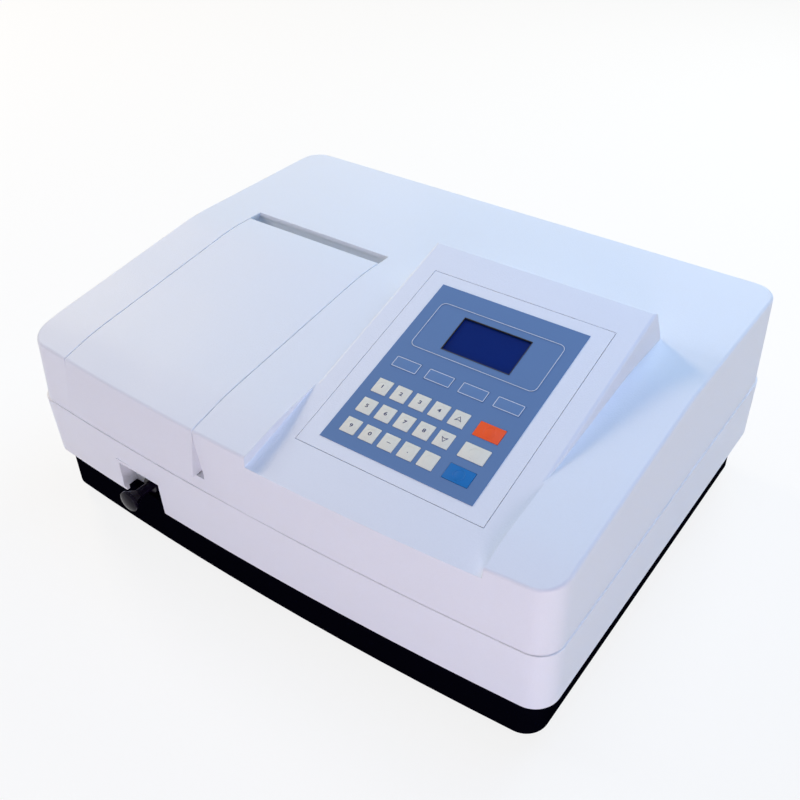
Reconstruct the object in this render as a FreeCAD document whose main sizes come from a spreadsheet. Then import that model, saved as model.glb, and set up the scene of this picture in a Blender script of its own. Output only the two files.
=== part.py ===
import FreeCAD, Part

import math
import os
import re

import Sketcher
from FreeCAD import Placement, Rotation, Vector

# Benchtop spectrophotometer. Millimetres, +X to the right, the front faces -Y, +Z up.
# The origin is on the bench, under the middle of the whole instrument.

doc = FreeCAD.newDocument("spectrophotometer")
sheet = doc.addObject("Spreadsheet::Sheet", "Size")

SIZES = {
    # case: heights are above the bench, depths are behind the foremost point of the ledge
    "case_width": 490.0,
    "case_depth": 381.0,
    "front_bow": 9.1,
    "corner_radius": 20.0,
    "wall": 3.0,
    "knob_reach": 14.0,
    "rear_reach": 3.0,
    # base pan and feet
    "foot_height": 10.0,
    "foot_radius": 12.0,
    "foot_taper": 2.0,
    "foot_inset": 48.0,
    "pan_front_inset": 6.4,
    "pan_side_inset": 8.0,
    "pan_height": 42.0,
    "pan_wall": 1.5,
    "pan_floor": 2.0,
    "pan_corner_radius": 18.0,
    "pan_lip": 9.0,
    "pan_flange": 2.0,
    # cover halves
    "skirt_bottom": 48.0,
    "ledge_height": 103.0,
    "skirt_front_draft": 1.5,
    "skirt_side_draft": 0.4,
    "shelf_thick": 2.5,
    "shelf_reach": 6.0,
    "parting_step": 1.0,
    "band_height": 10.0,
    "band_step": 0.3,
    "upper_front_draft": 7.0,
    "upper_side_draft": 1.6,
    "upper_rear_draft": 2.8,
    "top_front_height": 154.4,
    "nose_rise": 10.2,
    "nose_length": 40.0,
    "crest_setback": 24.0,
    "crest_rise": 22.0,
    "rear_fall": 0.8,
    "crease_radius": 180.0,
    "top_edge_radius": 2.6,
    "lid_edge_radius": 0.7,
    "rim_radius": 0.5,
    "parting_edge_radius": 0.6,
    # panel housing on the right of the top, between the lid and the right side
    "panel_offset": 0.65,
    "panel_sink": 7.9,
    "panel_front_depth": 2.55,
    "panel_angle": 16.4,
    "panel_back_slope": 17.5,
    # inset panel plate, membrane overlay, display
    "plate_start": 38.4,
    "plate_left_inset": 17.2,
    "plate_right_inset": 18.1,
    "plate_rear_inset": 29.5,
    "plate_thick": 2.4,
    "plate_gap": 0.5,
    "plate_ledge": 5.0,
    "overlay_thick": 1.4,
    "overlay_left_inset": 14.1,
    "overlay_right_inset": 14.6,
    "overlay_front_inset": 10.0,
    "overlay_rear_inset": 10.3,
    "overlay_proud": 0.3,
    "display_width": 58.4,
    "display_length": 34.2,
    "display_front_gap": 19.2,
    "display_rear_margin": 22.6,
    "display_sink": 1.3,
    "display_thick": 6.0,
    # keys
    "key_width": 12.4,
    "key_length": 13.0,
    "key_margin": 9.6,
    "key_front_margin": 10.3,
    "wide_key_width": 20.4,
    "wide_key_length": 12.6,
    "wide_key_gap": 8.5,
    "wide_key_margin": 10.3,
    "key_pitch": 16.45,
    "row_pitch": 19.45,
    "mode_key_width": 21.6,
    "mode_key_length": 10.0,
    "mode_key_gap": 13.2,
    "mode_key_pitch": 28.9,
    "key_proud": 0.25,
    "key_travel": 0.35,
    "key_clearance": 0.2,
    "key_corner": 1.0,
    "wide_key_shift": 0.6,
    # sample lid
    "lid_left": 50.0,
    "lid_width": 146.3,
    "lid_rear": 228.0,
    "lid_gap": 0.6,
    "lid_thick": 3.0,
    "flap_room": 12.0,
    "lug_thick": 4.0,
    "flap_rise": 2.5,
    "flap_flare": 4.5,
    "lid_skirt": 9.0,
    "recess_gap": 14.3,
    "recess_lip": 10.6,
    "recess_drop": 19.0,
    "hinge_gap": 0.3,
    "bracket_hub_radius": 2.7,
    "hinge_pin_radius": 2.0,
    "hinge_hub_radius": 5.0,
    "hinge_inset": 8.0,
    "running_clearance": 0.05,
    "scoop_width": 7.0,
    "scoop_depth": 6.0,
    # sample changer
    "rod_height": 60.0,
    "rod_radius": 4.0,
    "rod_inset": 73.0,
    "knob_radius": 9.0,
    "knob_dome": 1.4,
    "knob_rim": 3.0,
    "notch_width": 46.0,
    "notch_side": 23.0,
    "notch_top": 79.0,
    "notch_depth": 13.0,
    "bush_radius": 8.0,
    "bush_length": 10.0,
    "cell_size": 12.6,
    "cell_pitch": 14.0,
    "cell_wall": 2.4,
    "cell_top": 112.0,
    "cell_floor": 69.0,
    "rail_radius": 2.5,
    "rail_spread": 24.0,
    # optics
    "beam_depth": 95.0,
    "beam_height": 84.0,
    "bench_bottom": 25.0,
    "bench_thick": 8.0,
    "bench_left": 16.0,
    "bench_rim": 7.0,
    "pillar_radius": 7.0,
    "pillar_inset": 15.0,
    "chamber_wall": 3.0,
    "chamber_front": 22.0,
    "chamber_rear_gap": 9.0,
    "chamber_floor": 47.0,
    "chamber_clearance": 0.5,
    "window_radius": 9.0,
    "mono_front": 30.0,
    "mono_depth": 185.0,
    "mono_height": 87.0,
    "mono_wall": 6.0,
    "mono_floor": 8.0,
    "mono_lid_thick": 5.0,
    "mono_side_gap": 8.2,
    "motor_radius": 14.0,
    "motor_height": 17.0,
    "slit_inset": 62.0,
    "slit_height": 10.0,
    "slit_plate": 20.0,
    "slit_thick": 1.5,
    "slit_opening": 0.8,
    "shaft_radius": 2.0,
    "grating_right_inset": 53.0,
    "grating_inset": 55.0,
    "grating_size": 30.0,
    "grating_thick": 6.0,
    "grating_table_radius": 18.0,
    "grating_table_thick": 4.0,
    "mirror_radius": 20.0,
    "mirror_thick": 8.0,
    "collimator_inset": 125.0,
    "camera_inset": 40.0,
    "lamp_gap": 28.0,
    "lamp_left_room": 22.0,
    "lamp_right_room": 24.0,
    "lamp_rear_room": 36.0,
    "source_inset": 32.0,
    "lamp_height": 95.0,
    "lamp_wall": 3.0,
    "lamp_spread": 36.0,
    "wheel_radius": 22.0,
    "wheel_thick": 3.0,
    "wheel_gap": 9.0,
    "wheel_hole_radius": 4.5,
    "wheel_pitch_radius": 16.0,
    "detector_inset": 30.0,
    "detector_thick": 22.0,
    "detector_size": 40.0,
    # electrics
    "fan_size": 60.0,
    "fan_thick": 15.0,
    "fan_right_inset": 90.0,
    "fan_top_room": 8.8,
    "fan_seat": 2.5,
    "inlet_across": 68.0,
    "inlet_width": 48.0,
    "inlet_height": 27.0,
    "inlet_level": 77.0,
    "inlet_reach": 26.0,
    "inlet_flange": 2.0,
    "rocker_width": 13.2,
    "rocker_length": 18.4,
    "rocker_thick": 6.0,
    "rocker_sink": 1.5,
    "rocker_tilt": 7.0,
    "pivot_radius": 1.5,
    "socket_across": 200.0,
    "supply_width": 58.0,
    "supply_side_room": 25.0,
    "supply_gap": 9.0,
    "supply_wall": 1.5,
    "supply_front": 60.0,
    "supply_depth": 160.0,
    "supply_height": 60.0,
    "board_left": 34.0,
    "board_width": 160.0,
    "board_rear_room": 31.0,
    "board_front": 250.0,
    "board_standoff": 8.0,
    "board_sheet": 1.6,
    "screw_inset": 30.0,
    "screw_level": 10.0,
    "screw_head_radius": 3.5,
    "screw_radius": 1.6,
    "screw_length": 12.0,
}

# lengths that follow from the sizes above
DERIVED = {
    "left": "(-case_width / 2)",
    "front": "((knob_reach - rear_reach - case_depth) / 2)",
    "bow_radius": "((case_width * case_width / 4 + front_bow * front_bow) / (2 * front_bow))",
    "pan_floor_top": "(foot_height + pan_floor)",
    "pan_top": "(foot_height + pan_height)",
    "band_top": "(ledge_height + band_height)",
    "upper_inset": "(parting_step + band_step)",
    "nose_height": "(top_front_height + nose_rise)",
    "crest_depth": "(lid_rear - crest_setback)",
    "crest_height": "(nose_height + crest_rise)",
    "rear_height": "(crest_height - rear_fall)",
    "form_top": "(panel_rear_height + corner_radius / 2 + wall)",
    # panel, from its plate, which is as large as the overlay that its keys and display need
    "overlay_width": "(key_margin + key_width + 4 * key_pitch + wide_key_gap + wide_key_width + wide_key_margin)",
    "plate_width": "(overlay_left_inset + overlay_width + overlay_right_inset)",
    "panel_width": "(plate_left_inset + plate_width + plate_right_inset)",
    "panel_left": "((lid_right + case_width - panel_width) / 2 - panel_offset)",
    "plate_left": "(panel_left + plate_left_inset)",
    "overlay_left": "(plate_left + overlay_left_inset)",
    "key_column": "(overlay_left + key_margin + key_width / 2)",
    "wide_key_centre": "(key_column + 4 * key_pitch + key_width / 2 + wide_key_gap + wide_key_width / 2)",
    "mode_key_column": "(overlay_left + overlay_width / 2 - 1.5 * mode_key_pitch)",
    "display_left": "(overlay_left + overlay_width / 2 - display_width / 2)",
    "overlay_start": "(plate_start + overlay_front_inset)",
    "key_row": "(overlay_start + key_front_margin + key_length / 2)",
    "mode_key_row": "(key_row + 2 * row_pitch + key_length / 2 + mode_key_gap + mode_key_length / 2)",
    "display_start": "(mode_key_row + mode_key_length / 2 + display_front_gap)",
    "overlay_length": "(display_start + display_length + display_rear_margin - overlay_start)",
    "plate_length": "(overlay_front_inset + overlay_length + overlay_rear_inset)",
    "panel_front_height": "(top_front_height - panel_sink)",
    "panel_rear_depth": "(panel_front_depth + (plate_start + plate_length + plate_rear_inset) * cos(panel_angle))",
    "panel_rear_height": "(panel_front_height + (panel_rear_depth - panel_front_depth) * tan(panel_angle))",
    # lid, hinge and changer
    "flap_bottom": "(band_top + flap_rise)",
    "lid_right": "(lid_left + lid_width)",
    "recess_rear": "(lid_rear + recess_gap)",
    "recess_floor": "(crest_height - recess_lip)",
    "recess_base": "(recess_floor - recess_drop)",
    "hinge_depth": "(lid_rear - lid_thick - bracket_hub_radius - hinge_gap)",
    "hinge_height": "recess_floor",
    "rod_across": "(lid_left + rod_inset)",
    "notch_left": "(rod_across - notch_side)",
    "notch_rear": "(notch_depth + front_bow / 3)",
    "knob_dome_radius": "((knob_radius * knob_radius + knob_dome * knob_dome) / (2 * knob_dome))",
    "carriage_length": "(3 * cell_pitch + cell_size + 2 * cell_wall)",
    "carriage_front": "(beam_depth - cell_size / 2 - cell_wall)",
    "carriage_width": "(rail_spread + 4 * rail_radius)",
    # optics, on the bench from left to right and then to the rear
    "bench_top": "(bench_bottom + bench_thick)",
    "chamber_rear": "(hinge_depth - chamber_rear_gap)",
    "chamber_left": "(lid_left - chamber_clearance - chamber_wall)",
    "chamber_width": "(lid_width + 2 * (chamber_clearance + chamber_wall))",
    "mono_left": "(lid_right + chamber_clearance + chamber_wall + mono_side_gap)",
    "mono_right": "(supply_left - supply_gap)",
    "mono_width": "(mono_right - mono_left)",
    "mono_rear": "(mono_front + mono_depth)",
    "mono_floor_top": "(bench_top + mono_floor)",
    "mono_top": "(bench_top + mono_height)",
    "slit_across": "(mono_left + slit_inset)",
    "grating_across": "(mono_right - grating_right_inset)",
    "grating_depth": "(mono_front + grating_inset)",
    "grating_table_floor": "(mono_floor_top + motor_height + 2)",
    "wheel_across": "(slit_across + wheel_pitch_radius)",
    "wheel_depth": "(mono_rear + wheel_gap)",
    "lamp_left": "(slit_across - lamp_spread - lamp_left_room)",
    "lamp_width": "(2 * lamp_spread + lamp_left_room + lamp_right_room)",
    "lamp_front": "(mono_rear + lamp_gap)",
    "lamp_depth": "(case_depth - lamp_rear_room - lamp_front)",
    "lamp_rear": "(lamp_front + lamp_depth)",
    "lamp_floor_top": "(bench_top + lamp_wall)",
    "source_depth": "(lamp_front + source_inset)",
    "detector_left": "(lid_left - detector_inset)",
    # electrics
    "fan_across": "(case_width - fan_right_inset)",
    "fan_height": "(rear_height - wall - fan_top_room - fan_size / 2)",
    "fan_rear": "(case_depth - upper_inset - wall - fan_seat)",
    "supply_left": "(case_width - supply_side_room - supply_width)",
    "board_depth": "(case_depth - board_rear_room - board_front)",
    "board_top": "(pan_floor_top + board_standoff + board_sheet)",
}

for line, (alias, amount) in enumerate(SIZES.items(), start=1):
    sheet.set("A" + str(line), alias.replace("_", " "))
    sheet.set("B" + str(line), str(amount))
    sheet.setAlias("B" + str(line), alias)
doc.recompute()

nodes = []


def formula(text):
    """An expression in which each size is read from the sheet."""
    def swap(match):
        word = match.group(0)
        if word in DERIVED:
            return formula(DERIVED[word])
        if word in SIZES:
            return "Size." + word
        return word
    return re.sub(r"[a-z_]+[a-z_0-9]*", swap, str(text))


def amount_of(text):
    """The present amount of a size or a formula."""
    return float(sheet.evalExpression(formula(text)))


def bind(item, **formulas):
    """Ties properties of one object to the sheet."""
    for name, text in formulas.items():
        item.setExpression(name, formula(text))
    return item


def place(item, across="left", depth="front", height="0", axis=None, angle=None):
    """Ties an object's position, and a turn about one axis, to the sheet."""
    if axis is not None:
        item.Placement = Placement(Vector(), Rotation(axis, 1))
        item.setExpression("Placement.Rotation.Angle", formula(angle))
    item.setExpression("Placement.Base.x", formula(across))
    item.setExpression("Placement.Base.y", formula(depth))
    item.setExpression("Placement.Base.z", formula(height))
    return item


def block(name, across, depth, height, width, length, rise):
    """A box by its left front bottom corner, measured from the case's left front corner and the bench."""
    item = bind(doc.addObject("Part::Box", name), Length=width, Width=length, Height=rise)
    return place(item, "left + " + across, "front + " + depth, height)


SHAFT_TURNS = {
    "up": (None, None),
    "rear": (Vector(-1, 0, 0), "90"),
    "right": (Vector(0, 1, 0), "90"),
}


def shaft(name, across, depth, height, radius, length, towards="up", tip=None):
    """A cylinder, or a cone when tip gives its far radius, from the centre of its first face."""
    axis, angle = SHAFT_TURNS[towards]
    if tip is None:
        item = bind(doc.addObject("Part::Cylinder", name), Radius=radius, Height=length)
    else:
        item = bind(doc.addObject("Part::Cone", name), Radius1=radius, Radius2=tip, Height=length)
    return place(item, "left + " + across, "front + " + depth, height, axis, angle)


def joined(name, pieces):
    item = doc.addObject("Part::MultiFuse", name)
    item.Shapes = pieces
    item.Refine = True
    return item


def cut(name, base, tools):
    item = doc.addObject("Part::Cut", name)
    item.Base = base
    item.Tool = tools[0] if len(tools) == 1 else joined(name + "_tools", tools)
    item.Refine = True
    return item


def common(name, first, second):
    item = doc.addObject("Part::Common", name)
    item.Base = first
    item.Tool = second
    item.Refine = True
    return item


def group(name, pieces):
    item = doc.addObject("Part::Compound", name)
    item.Links = pieces
    return item


def rounded(name, base, radius_alias, wanted, reduced=0.0):
    """Fillets the edges that wanted() picks; the radius comes from the sheet."""
    doc.recompute()
    radius = getattr(sheet, radius_alias) - reduced
    item = doc.addObject("Part::Fillet", name)
    item.Base = base
    item.Edges = [(number, radius, radius) for number, edge in enumerate(base.Shape.Edges, start=1) if wanted(edge)]
    return item


def node(label, item):
    """Registers a finished piece under its name."""
    item.Label = label
    nodes.append(item)
    return item


APRON = 20


def outline_body(name, points, length, across="left", height="0"):
    """A body padded along X from a closed outline of (depth, height) points, none more than APRON in front."""
    body = doc.addObject("PartDesign::Body", name)
    sketch = body.newObject("Sketcher::SketchObject", name + "_outline")
    plane = [origin for origin in body.Origin.OriginFeatures if origin.Role == "YZ_Plane"][0]
    sketch.AttachmentSupport = [(plane, "")]
    sketch.MapMode = "FlatFace"
    draw_outline(sketch, [("(" + depth + ") + " + str(APRON), rise) for depth, rise in points])
    pad = body.newObject("PartDesign::Pad", name + "_pad")
    pad.Profile = sketch
    bind(pad, Length=length)
    return place(body, across, "front - " + str(APRON), height)


def draw_outline(sketch, points):
    """Straight sides between points whose two coordinates are tied to the sheet."""
    count = len(points)
    turns = [2 * math.pi * step / count for step in range(count)]
    middle, reach = sheet.case_depth / 2, sheet.case_depth / 4
    ring = [Vector(middle + reach * math.cos(turn), middle + reach * math.sin(turn), 0) for turn in turns]
    for step in range(count):
        sketch.addGeometry(Part.LineSegment(ring[step], ring[(step + 1) % count]), False)
    for step in range(count):
        sketch.addConstraint(Sketcher.Constraint("Coincident", step, 2, (step + 1) % count, 1))
    for step, coordinates in enumerate(points):
        for direction, text in zip(("DistanceX", "DistanceY"), coordinates):
            number = sketch.addConstraint(Sketcher.Constraint(direction, -1, 1, step, 1, middle))
            sketch.setExpression("Constraints[" + str(number) + "]", formula(text))


def upright_corner(edge):
    """True for the four drafted corner edges of a case form."""
    first, last = edge.Vertexes[0].Point, edge.Vertexes[-1].Point
    return abs(first.z - last.z) > 2 and abs(first.x - last.x) < 10 and abs(first.y - last.y) < 12


def case_block(name, low, high, side_low, side_high, front_low, front_high, rear_low, rear_high, radius, reduced):
    """A drafted block with a bowed front and rounded corners; the insets are at its two ends."""
    taper = bind(doc.addObject("Part::Wedge", name + "_taper"),
                 Xmin=side_low, Xmax="case_width - (" + side_low + ")",
                 X2min=side_high, X2max="case_width - (" + side_high + ")",
                 Ymin="0", Ymax="(" + high + ") - (" + low + ")",
                 Zmin="(" + rear_low + ") - case_depth", Zmax="-0.5",
                 Z2min="(" + rear_high + ") - case_depth", Z2max="-0.5")
    place(taper, "left", "front", low, Vector(1, 0, 0), "90")
    bow = bind(doc.addObject("Part::Cone", name + "_bow"), Radius1="bow_radius - (" + front_low + ")",
               Radius2="bow_radius - (" + front_high + ")", Height="(" + high + ") - (" + low + ")")
    place(bow, "0", "front + bow_radius", low)
    return rounded(name, common(name + "_body", taper, bow), radius, upright_corner, reduced)


def drafted(draft, height):
    """Inset gained by the upper cover's wall from the ledge up to a height."""
    return "(" + draft + ") * ((" + height + ") - ledge_height) / (form_top - ledge_height)"


def upper_walls(name, inset, low, high, reduced=0.0):
    """Drafted walls of the upper cover between two heights, with rounded corners."""
    ends = [inset + " + " + drafted(draft, height)
            for draft in ("upper_side_draft", "upper_front_draft", "upper_rear_draft") for height in (low, high)]
    return case_block(name, low, high, *ends, "corner_radius", reduced)


def top_outline(inset, last="case_depth"):
    """The side view of the top, from the front to a given depth."""
    inset = "(" + inset + ")"
    fall = "(crest_height - rear_height) * ((" + last + ") - crest_depth) / (case_depth - crest_depth)"
    return [("0 - 15", "foot_height"), ("0 - 15", "top_front_height - " + inset),
            ("0", "top_front_height - " + inset), ("nose_length", "nose_height - " + inset),
            ("crest_depth", "crest_height - " + inset), (last, "crest_height - " + fall + " - " + inset),
            (last, "foot_height")]


def panel_level(depth, drop="0"):
    """Height of the panel housing's sloped face at a depth."""
    return "panel_front_height + ((" + depth + ") - panel_front_depth) * tan(panel_angle) - (" + drop + ")"


def panel_block(name, across, start, level, width, length, thick):
    """A box in the panel's own frame: start runs up the slope and level stands off its face."""
    item = bind(doc.addObject("Part::Box", name), Length=width, Width=length, Height=thick)
    depth = "(" + start + ") * cos(panel_angle) - (" + level + ") * sin(panel_angle)"
    height = "(" + start + ") * sin(panel_angle) + (" + level + ") * cos(panel_angle)"
    return place(item, "left + " + across, "front + panel_front_depth + " + depth,
                 "panel_front_height + " + height, Vector(1, 0, 0), "panel_angle")


model_front = amount_of("front")
model_left = amount_of("left")
nose_level = amount_of("nose_height")
crest_level = amount_of("crest_height")
crest_depth = amount_of("crest_depth")
panel_left_side = amount_of("left + panel_left")
panel_right_side = amount_of("left + panel_left + panel_width")
panel_front_level = amount_of("panel_front_height")
panel_rear_side = amount_of("front + panel_rear_depth")
NEAR = 1.0


def crease(edge):
    """True for the two creases that run across the top."""
    span = edge.BoundBox
    depth = span.Center.y - model_front
    return (span.XLength > sheet.lid_width / 2 and span.YLength < NEAR and span.Center.z > nose_level - NEAR
            and sheet.nose_length / 2 < depth < crest_depth + NEAR)


def top_rim(edge):
    """True for the edges round the outside of the top."""
    middle = edge.valueAt((edge.FirstParameter + edge.LastParameter) / 2)
    depth = middle.y - model_front
    outside = (abs(middle.x) > sheet.case_width / 2 - sheet.corner_radius or depth < sheet.nose_length / 2
               or depth > sheet.case_depth - sheet.corner_radius)
    return outside and edge.BoundBox.ZMin > sheet.top_front_height - NEAR


def panel_front_edge(edge):
    """True for the front edge of the panel housing's sloped face."""
    span = edge.BoundBox
    return (span.XMin < panel_left_side + NEAR and span.XMax > panel_right_side - NEAR
            and span.Center.y - model_front < sheet.nose_length / 2 and span.ZMin > panel_front_level - sheet.wall)


def panel_proud_edge(edge):
    """True for the edges of the panel housing where it stands above the top."""
    span = edge.BoundBox
    on_side = abs(span.Center.x - panel_left_side) < NEAR or abs(span.Center.x - panel_right_side) < NEAR
    side = span.XLength < NEAR and on_side and span.Center.y < panel_rear_side - sheet.wall
    rear = (span.XLength > panel_right_side - panel_left_side - NEAR
            and abs(span.Center.y - panel_rear_side) < NEAR)
    return (side and span.ZMax > crest_level + sheet.wall) or (rear and span.ZMin > crest_level + sheet.wall)


def upper_form(name, inset, low, reduced, finished):
    """The upper cover's solid form; the inner one is cut from the outer one."""
    walls = upper_walls(name + "_walls", inset, low, "form_top", reduced)
    extra = "wall" if reduced else "0"
    top = outline_body(name + "_top", top_outline(extra), "case_width")
    form = common(name + "_block", walls, top)
    if finished:
        form = rounded(name + "_creased", form, "crease_radius", crease)
        form = rounded(name + "_edged", form, "top_edge_radius", top_rim)
    side = "wall" if reduced else "0"
    sunk = outline_body(name + "_sunk", [
        ("0 - 15", panel_level("0 - 15", extra)), ("panel_rear_depth", panel_level("panel_rear_depth", extra)),
        ("panel_rear_depth", "form_top + 20"), ("0 - 15", "form_top + 20")],
        "panel_width + 2 * " + side, "left + panel_left - " + side)
    panel = outline_body(name + "_panel", [
        ("0 - 15", "foot_height"), ("0 - 15", panel_level("0 - 15", extra)),
        ("panel_rear_depth - " + extra, panel_level("panel_rear_depth - " + extra, extra)),
        ("panel_rear_depth + panel_back_slope - " + extra, "rear_height - 4"),
        ("panel_rear_depth + panel_back_slope - " + extra, "foot_height")],
        "panel_width - 2 * " + side, "left + panel_left + " + side)
    housing = common(name + "_housing", walls, panel)
    if finished:
        housing = rounded(name + "_housing_edged", housing, "top_edge_radius", panel_front_edge)
    return joined(name + "_form", [cut(name + "_lowered", form, [sunk]), housing])


# Base pan and feet

def bowed_block(name, low, high, side, front, rear, radius, reduced):
    """An upright block with a bowed front and rounded corners."""
    box = bind(doc.addObject("Part::Box", name + "_box"), Length="case_width - 2 * (" + side + ")",
               Width="case_depth - (" + rear + ")", Height="(" + high + ") - (" + low + ")")
    place(box, "left + " + side, "front", low)
    bow = bind(doc.addObject("Part::Cylinder", name + "_bow"), Radius="bow_radius - (" + front + ")",
               Height="(" + high + ") - (" + low + ")")
    place(bow, "0", "front + bow_radius", low)
    return rounded(name, common(name + "_body", box, bow), radius, upright_corner, reduced)


pan_outer = bowed_block("pan_outer", "foot_height", "pan_top", "pan_side_inset", "pan_front_inset",
                        "pan_side_inset", "pan_corner_radius", 0.0)
pan_inner = bowed_block("pan_inner", "pan_floor_top", "pan_top - pan_flange", "pan_side_inset + pan_wall",
                        "pan_front_inset + pan_wall", "pan_side_inset + pan_wall", "pan_corner_radius", sheet.pan_wall)
pan_mouth = bowed_block("pan_mouth", "pan_top - pan_flange", "pan_top + 4", "pan_side_inset + pan_lip",
                        "pan_front_inset + pan_lip", "pan_side_inset + pan_lip", "pan_corner_radius",
                        sheet.pan_lip)
node("base_pan", cut("base_pan", pan_outer, [pan_inner, pan_mouth]))

feet = []
for number, (across, depth) in enumerate([
        ("foot_inset", "foot_inset"), ("case_width - foot_inset", "foot_inset"),
        ("foot_inset", "case_depth - foot_inset"), ("case_width - foot_inset", "case_depth - foot_inset")]):
    feet.append(shaft("foot_" + str(number), across, depth, "0", "foot_radius - foot_taper", "foot_height",
                      "up", "foot_radius"))
node("rubber_feet", group("rubber_feet", feet))

# Lower cover, with the box-shaped notch round the changer's knob

skirt_outer = case_block("skirt_outer", "skirt_bottom", "ledge_height", "skirt_side_draft", "0",
                         "skirt_front_draft", "0", "0", "0", "corner_radius", 0.0)
ledge_level = amount_of("ledge_height")
skirt_outer = rounded("skirt_edged", skirt_outer, "parting_edge_radius",
                      lambda edge: edge.BoundBox.ZMin > ledge_level - NEAR / 2)
skirt_inner = case_block("skirt_inner", "skirt_bottom - 1", "ledge_height + 1", "skirt_side_draft + wall", "wall",
                         "skirt_front_draft + wall", "wall", "wall", "wall",
                         "corner_radius", sheet.wall)
notch = block("notch", "notch_left", "0 - 5", "skirt_bottom - 1", "notch_width", "notch_rear + 5",
              "notch_top - skirt_bottom + 1")
pocket_block = block("pocket_block", "notch_left - wall", "wall", "pan_top", "notch_width + 2 * wall",
                     "notch_rear", "notch_top + wall - pan_top")
bush_hole = shaft("bush_hole", "rod_across", "notch_rear - 5", "rod_height", "bush_radius - 2 + running_clearance",
                  "wall + 10", "rear")
inlet_hole = block("inlet_hole", "inlet_across - inlet_width / 2", "case_depth - 10",
                   "inlet_level - inlet_height / 2", "inlet_width", "20", "inlet_height")
shelf_outer = bowed_block("shelf_outer", "pan_top", "pan_top + shelf_thick", "wall", "wall", "wall", "corner_radius",
                          sheet.wall)
shelf_mouth = bowed_block("shelf_mouth", "pan_top - 1", "pan_top + shelf_thick + 1", "pan_side_inset + shelf_reach",
                          "pan_front_inset + shelf_reach", "pan_side_inset + shelf_reach", "pan_corner_radius",
                          sheet.shelf_reach)
shelf = cut("shelf", shelf_outer, [shelf_mouth])

SOCKETS = [("serial", "socket_across - 18", "34", "13"), ("usb", "socket_across + 22", "14", "12"),
           ("printer", "socket_across + 42", "26", "13")]
socket_holes = [block(name + "_hole", across, "case_depth - 10", "inlet_level - " + rise + " / 2", width, "20", rise)
                for name, across, width, rise in SOCKETS]
SCREWS = [("screw_inset", "skirt_bottom + screw_level"), ("screw_inset", "ledge_height - screw_level"),
          ("case_width - screw_inset", "skirt_bottom + screw_level"),
          ("case_width - screw_inset", "ledge_height - screw_level")]
bosses = []
screw_holes = []
for number, (across, level) in enumerate(SCREWS):
    bosses.append(shaft("boss_" + str(number), across, "case_depth - wall - screw_length", level,
                        "screw_radius + wall", "screw_length + wall / 2", "rear"))
    screw_holes.append(shaft("screw_hole_" + str(number), across, "case_depth - wall - screw_length - 1", level,
                             "screw_radius + running_clearance", "screw_length + wall + 2", "rear"))
skirt = joined("skirt_pocket", [cut("skirt_shell", skirt_outer, [skirt_inner]), shelf, pocket_block] + bosses)
node("lower_cover", cut("lower_cover", skirt, [notch, bush_hole, inlet_hole] + socket_holes + screw_holes))

# Upper cover: one moulding with the lid's opening, the recess behind it, and the panel housing

cover_outer = rounded("cover_outer", upper_form("outer", "upper_inset", "ledge_height", 0.0, True),
                      "top_edge_radius", panel_proud_edge)
cover_inner = upper_form("inner", "upper_inset + wall", "ledge_height - 1", sheet.wall, False)
band_ends = [inset + " + " + drafted(draft, height)
             for draft in ("upper_side_draft", "upper_front_draft", "upper_rear_draft")
             for inset, height in (("parting_step", "ledge_height"), ("upper_inset + 0.1", "band_top"))]
band = case_block("band", "ledge_height", "band_top", *band_ends, "corner_radius", 0.0)
lid_opening = outline_body("lid_opening", [
    ("0 - 15", "flap_bottom - 1"), ("0 - 15", "form_top"), ("recess_rear", "form_top"),
    ("recess_rear", "crest_height"), ("recess_rear - 6", "recess_floor"), ("recess_rear - 6", "flap_bottom - 1")],
    "lid_width", "left + lid_left")
recess_wall = outline_body("recess_wall", [
    ("hinge_depth + 3", "recess_base"), ("hinge_depth + 3", "recess_base + wall"),
    ("recess_rear - 6", "recess_base + wall"), ("recess_rear - 6", "recess_floor"),
    ("recess_rear", "crest_height - 0.5"), ("recess_rear + wall", "crest_height - 0.5"),
    ("recess_rear + wall - 6", "recess_floor - 1"), ("recess_rear + wall - 6", "recess_base")],
    "lid_width + 2 * wall", "left + lid_left - wall")
cheeks = [outline_body("cheek_" + side, [
    ("chamber_rear + chamber_wall + 0.5", "recess_base"), ("chamber_rear + chamber_wall + 0.5", "crest_height - 1.5"),
    ("recess_rear + 1", "crest_height - 1.5"), ("recess_rear + wall - 6", "recess_floor - 1"),
    ("recess_rear + wall - 6", "recess_base")], "wall", "left + " + across)
          for side, across in (("left", "lid_left - wall"), ("right", "lid_right"))]
scoop_height = amount_of("top_front_height - flap_bottom + 1")
scoop_turn = Rotation(Vector(1, 0, 0), Vector(1 / sheet.scoop_width, 1 / sheet.scoop_depth, 1 / scoop_height))
scoop_reach = scoop_height + sheet.wall
scoop_corner = scoop_turn.multVec(Vector(-scoop_reach, -scoop_reach, -scoop_reach))
scoop_slope = bind(doc.addObject("Part::Box", "scoop_slope"), Length=scoop_reach, Width=2 * scoop_reach,
                   Height=2 * scoop_reach)
scoop_slope.Placement = Placement(Vector(), scoop_turn)
place(scoop_slope, "left + lid_right + scoop_width + " + str(round(scoop_corner.x, 4)),
      "front + wall + " + str(round(scoop_corner.y, 4)), "flap_bottom - 1 + " + str(round(scoop_corner.z, 4)))
scoop = common("scoop", scoop_slope, block(
    "scoop_limit", "lid_right - 1", "0 - wall", "flap_bottom - 1", "scoop_width + 1", "scoop_depth + 2 * wall",
    "top_front_height - flap_bottom + 1"))
scoop_back = common("scoop_back", cover_outer, block(
    "scoop_block", "lid_right - 1", "0", "flap_bottom - 1 - wall", "scoop_width + wall + 1", "flap_room - 0.5",
    "top_front_height - flap_bottom"))
plate_opening = panel_block("plate_opening", "plate_left - plate_gap", "plate_start - plate_gap", "0 - 12",
                            "plate_width + 2 * plate_gap", "plate_length + 2 * plate_gap", "40")
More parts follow.
